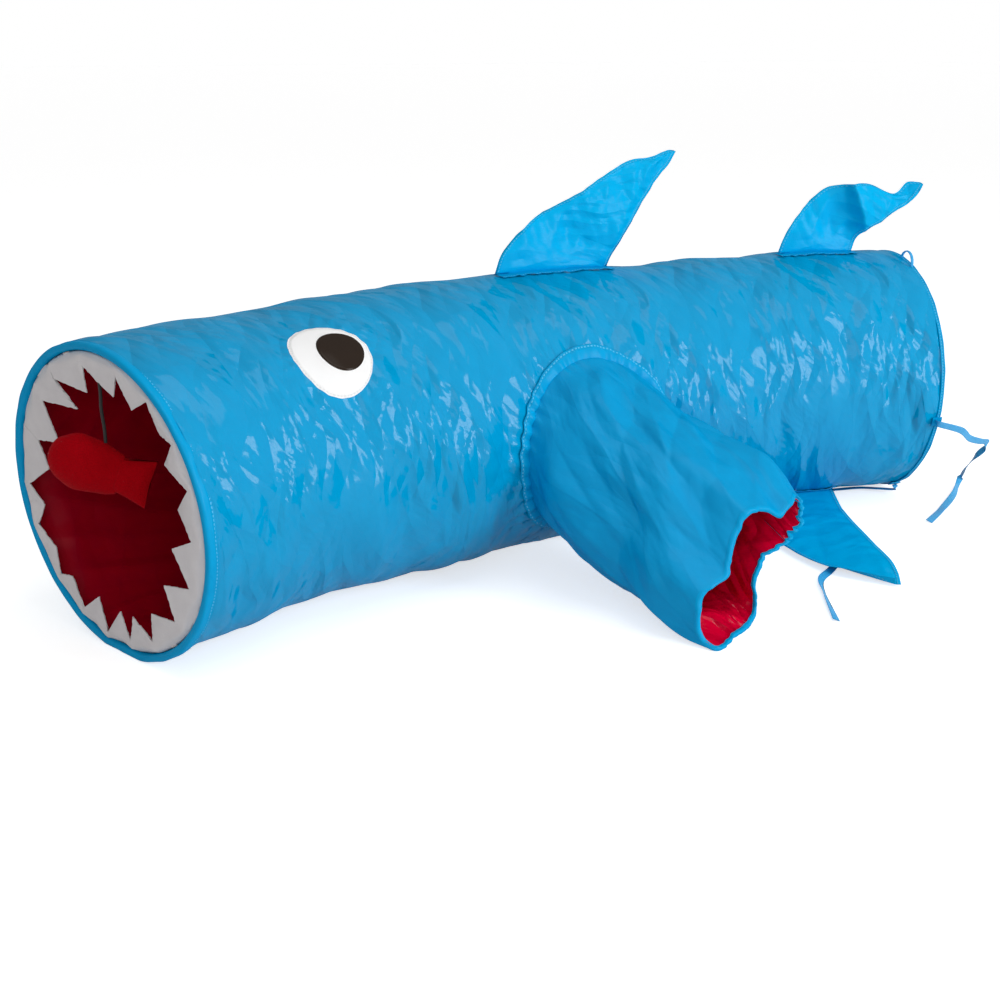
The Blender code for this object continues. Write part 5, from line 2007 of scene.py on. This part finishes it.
@dataclass
class Ties:
    """The two ribbons that tie the folded tunnel."""

    dresser: Dresser
    width: float = 0.007
    wall: float = 0.0007

    def ribbon(self, name: str, route: Sequence[Point], turns: Sequence[float], node: str) -> None:
        """A flat ribbon along a route.

        Args:
            name: the piece's name.
            route: the points that its middle follows.
            turns: how far it is turned about its run, evenly along it, in degrees; 0 lies flat.
            node: the CAD node that it stands for.
        """
        count = 160
        path = smooth_curve(route, count)
        ways = np.gradient(path, axis=0)
        ways /= np.linalg.norm(ways, axis=1)[:, None]
        level = np.cross(ways, [0.0, 0.0, 1.0])
        for k in range(1, count):
            if np.linalg.norm(level[k]) < 0.35:
                level[k] = level[k - 1]
            elif level[k] @ level[k - 1] < 0:
                level[k] = -level[k]
        level /= np.linalg.norm(level, axis=1)[:, None]
        raised = np.cross(level, ways)
        twist = np.radians(np.interp(np.linspace(0, 1, count), np.linspace(0, 1, len(turns)), turns))
        width_way = level * np.cos(twist)[:, None] + raised * np.sin(twist)[:, None]
        normal = np.cross(ways, width_way)
        length = line_length(path)

        def surface(u: Array, v: Array) -> Array:
            """Points of the ribbon, round its rounded edges.

            Args:
                u: places across the grid, from 0 to 1.
                v: places along it, from 0 to 1.

            Returns:
                An array of points.
            """
            turn = math.tau * v
            middle, wide, thick = (along_curve(line, u) for line in (path, width_way, normal))
            side = np.cos(turn) * self.width / 2
            depth = np.sign(np.sin(turn)) * np.abs(np.sin(turn)) ** 0.4 * self.wall / 2
            spot = middle + wide * side[:, None] + thick * depth[:, None]
            spot[:, 2] = np.maximum(spot[:, 2], 0.0003)
            return spot

        piece = grid_piece(name, count - 1, 16, surface, (length, 2 * self.width))
        close(piece)
        self.dresser.dress(piece, Slot.RIBBON, [node], "tail_end")
        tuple(route[0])

    def build(self) -> None:
        """Makes both ribbons."""
        tube = Tube()
        starts = [
            tuple(tube.at(0.4195, np.radians(roll), tube.radius + lift))
            for roll in (-62.0, -11.0) for lift in (0.0023, 0.0073)
        ]
        self.ribbon(
            "near_ribbon",
            [*starts[:2], (0.384, -0.1120, 0.0040), (0.372, -0.0960, 0.0022), (0.350, -0.0868, 0.0016),
             (0.322, -0.0797, 0.0016), (0.303, -0.0900, 0.0016), (0.293, -0.1180, 0.0016),
             (0.285, -0.1500, 0.0016), (0.268, -0.1820, 0.0016), (0.224, -0.2170, 0.0016),
             (0.186, -0.2400, 0.0016), (0.158, -0.2540, 0.0016), (0.137, -0.2800, 0.0016),
             (0.109, -0.3210, 0.0016)],
            (0, 0, 0, 0, 0, 0, 15, 60, 20), "near_tie",
        )
        self.ribbon(
            "rear_ribbon",
            [*starts[2:], (0.4080, -0.1880, 0.0850), (0.4320, -0.1810, 0.0710), (0.4560, -0.1760, 0.0625),
             (0.4720, -0.1720, 0.0580), (0.4760, -0.1680, 0.0500), (0.4720, -0.1600, 0.0380),
             (0.4750, -0.1470, 0.0190), (0.4700, -0.1450, 0.0060), (0.4400, -0.1640, 0.0024),
             (0.3920, -0.1880, 0.0017), (0.3570, -0.2035, 0.0016)],
            (60, 70, 80, 60, 40, 60, 30, 0, 20), "rear_tie",
        )


@dataclass
class Studio:
    """The camera, the pale floor and the lights."""

    eye: Point = (-0.617, -0.980, 0.451)
    look: Point = (0.486, 0.804, -0.343)
    lens: float = 44.77
    # How much the floor and the surround add where the camera sees them
    glow: float = 0.65

    def build(self) -> None:
        """Makes the camera, the floor, the world and the lamps."""
        camera = placed("camera", bpy.data.cameras.new("camera"))
        camera.data.lens = self.lens
        camera.data.sensor_width = 36.0
        camera.location = self.eye
        camera.rotation_euler = Vector(self.look).to_track_quat("-Z", "Y").to_euler()
        bpy.context.scene.camera = camera
        bpy.context.scene.view_settings.view_transform = "Standard"
        self.floor()
        self.world()
        self.lamp("strip_box", (1.23, -1.99, 0.77), (0.0, -0.10, 0.14), (0.69, 1.58), 28.0)
        self.lamp("top_box", (0.1, -0.65, 1.9), (0.0, 0.0, 0.1), (1.2, 1.2), 9.0)
        self.lamp("fill_box", (-0.9, -1.8, 0.9), (0.0, 0.0, 0.1), (1.2, 1.2), 7.5)

    def floor(self) -> None:
        """The plain pale floor."""
        mesh = bpy.data.meshes.new("floor")
        with reshaped(mesh) as grid:
            bmesh.ops.create_grid(grid, x_segments=1, y_segments=1, size=30.0)
        made, graph, shader = unfinished("floor_white")
        graph.feed(shader, {
            "Base Color": (0.80, 0.80, 0.80, 1.0), "Roughness": 0.9, "Emission Color": WHITE,
            "Emission Strength": graph.math("MULTIPLY", graph.seen(), self.glow),
        })
        mesh.materials.append(made)
        placed("floor", mesh)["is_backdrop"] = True

    def world(self) -> None:
        """A plain white surround."""
        world = bpy.data.worlds.new("surround")
        bpy.context.scene.world = world
        world.use_nodes = True
        graph = Graph(world.node_tree)
        strength = graph.math("MULTIPLY_ADD", graph.seen(), self.glow, 1 - self.glow)
        graph.feed(world.node_tree.nodes["Background"], {"Color": WHITE, "Strength": strength})

    def lamp(self, name: str, place: Point, aim: Point, size: tuple[float, float], power: float) -> None:
        """A soft box.

        Args:
            name: the lamp's name.
            place: where it stands.
            aim: what it points at.
            size: its width and height.
            power: in watts.
        """
        light = bpy.data.lights.new(name, "AREA")
        light.shape = "RECTANGLE"
        light.size, light.size_y = size
        light.energy = power
        lamp = placed(name, light)
        lamp.location = place
        lamp.rotation_euler = (Vector(aim) - Vector(place)).to_track_quat("-Z", "Y").to_euler()


def corners() -> list[list[float]]:
    """The lowest and highest corner of what shows."""
    return [[round(value, 5) for value in corner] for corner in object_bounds()]


def main() -> None:
    """Builds the tunnel round its frame, piece by piece."""
    logging.basicConfig(level=logging.INFO, format="%(name)s: %(message)s")
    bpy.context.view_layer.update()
    Studio().build()
    dresser = Dresser()
    dresser.dress_nodes()
    for assembly in (Ties, Tunnel, Rims, Teeth, Toy, Patches, Fins, Sleeve):
        assembly(dresser).build()
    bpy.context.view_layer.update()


if __name__ == "__main__":
    main()
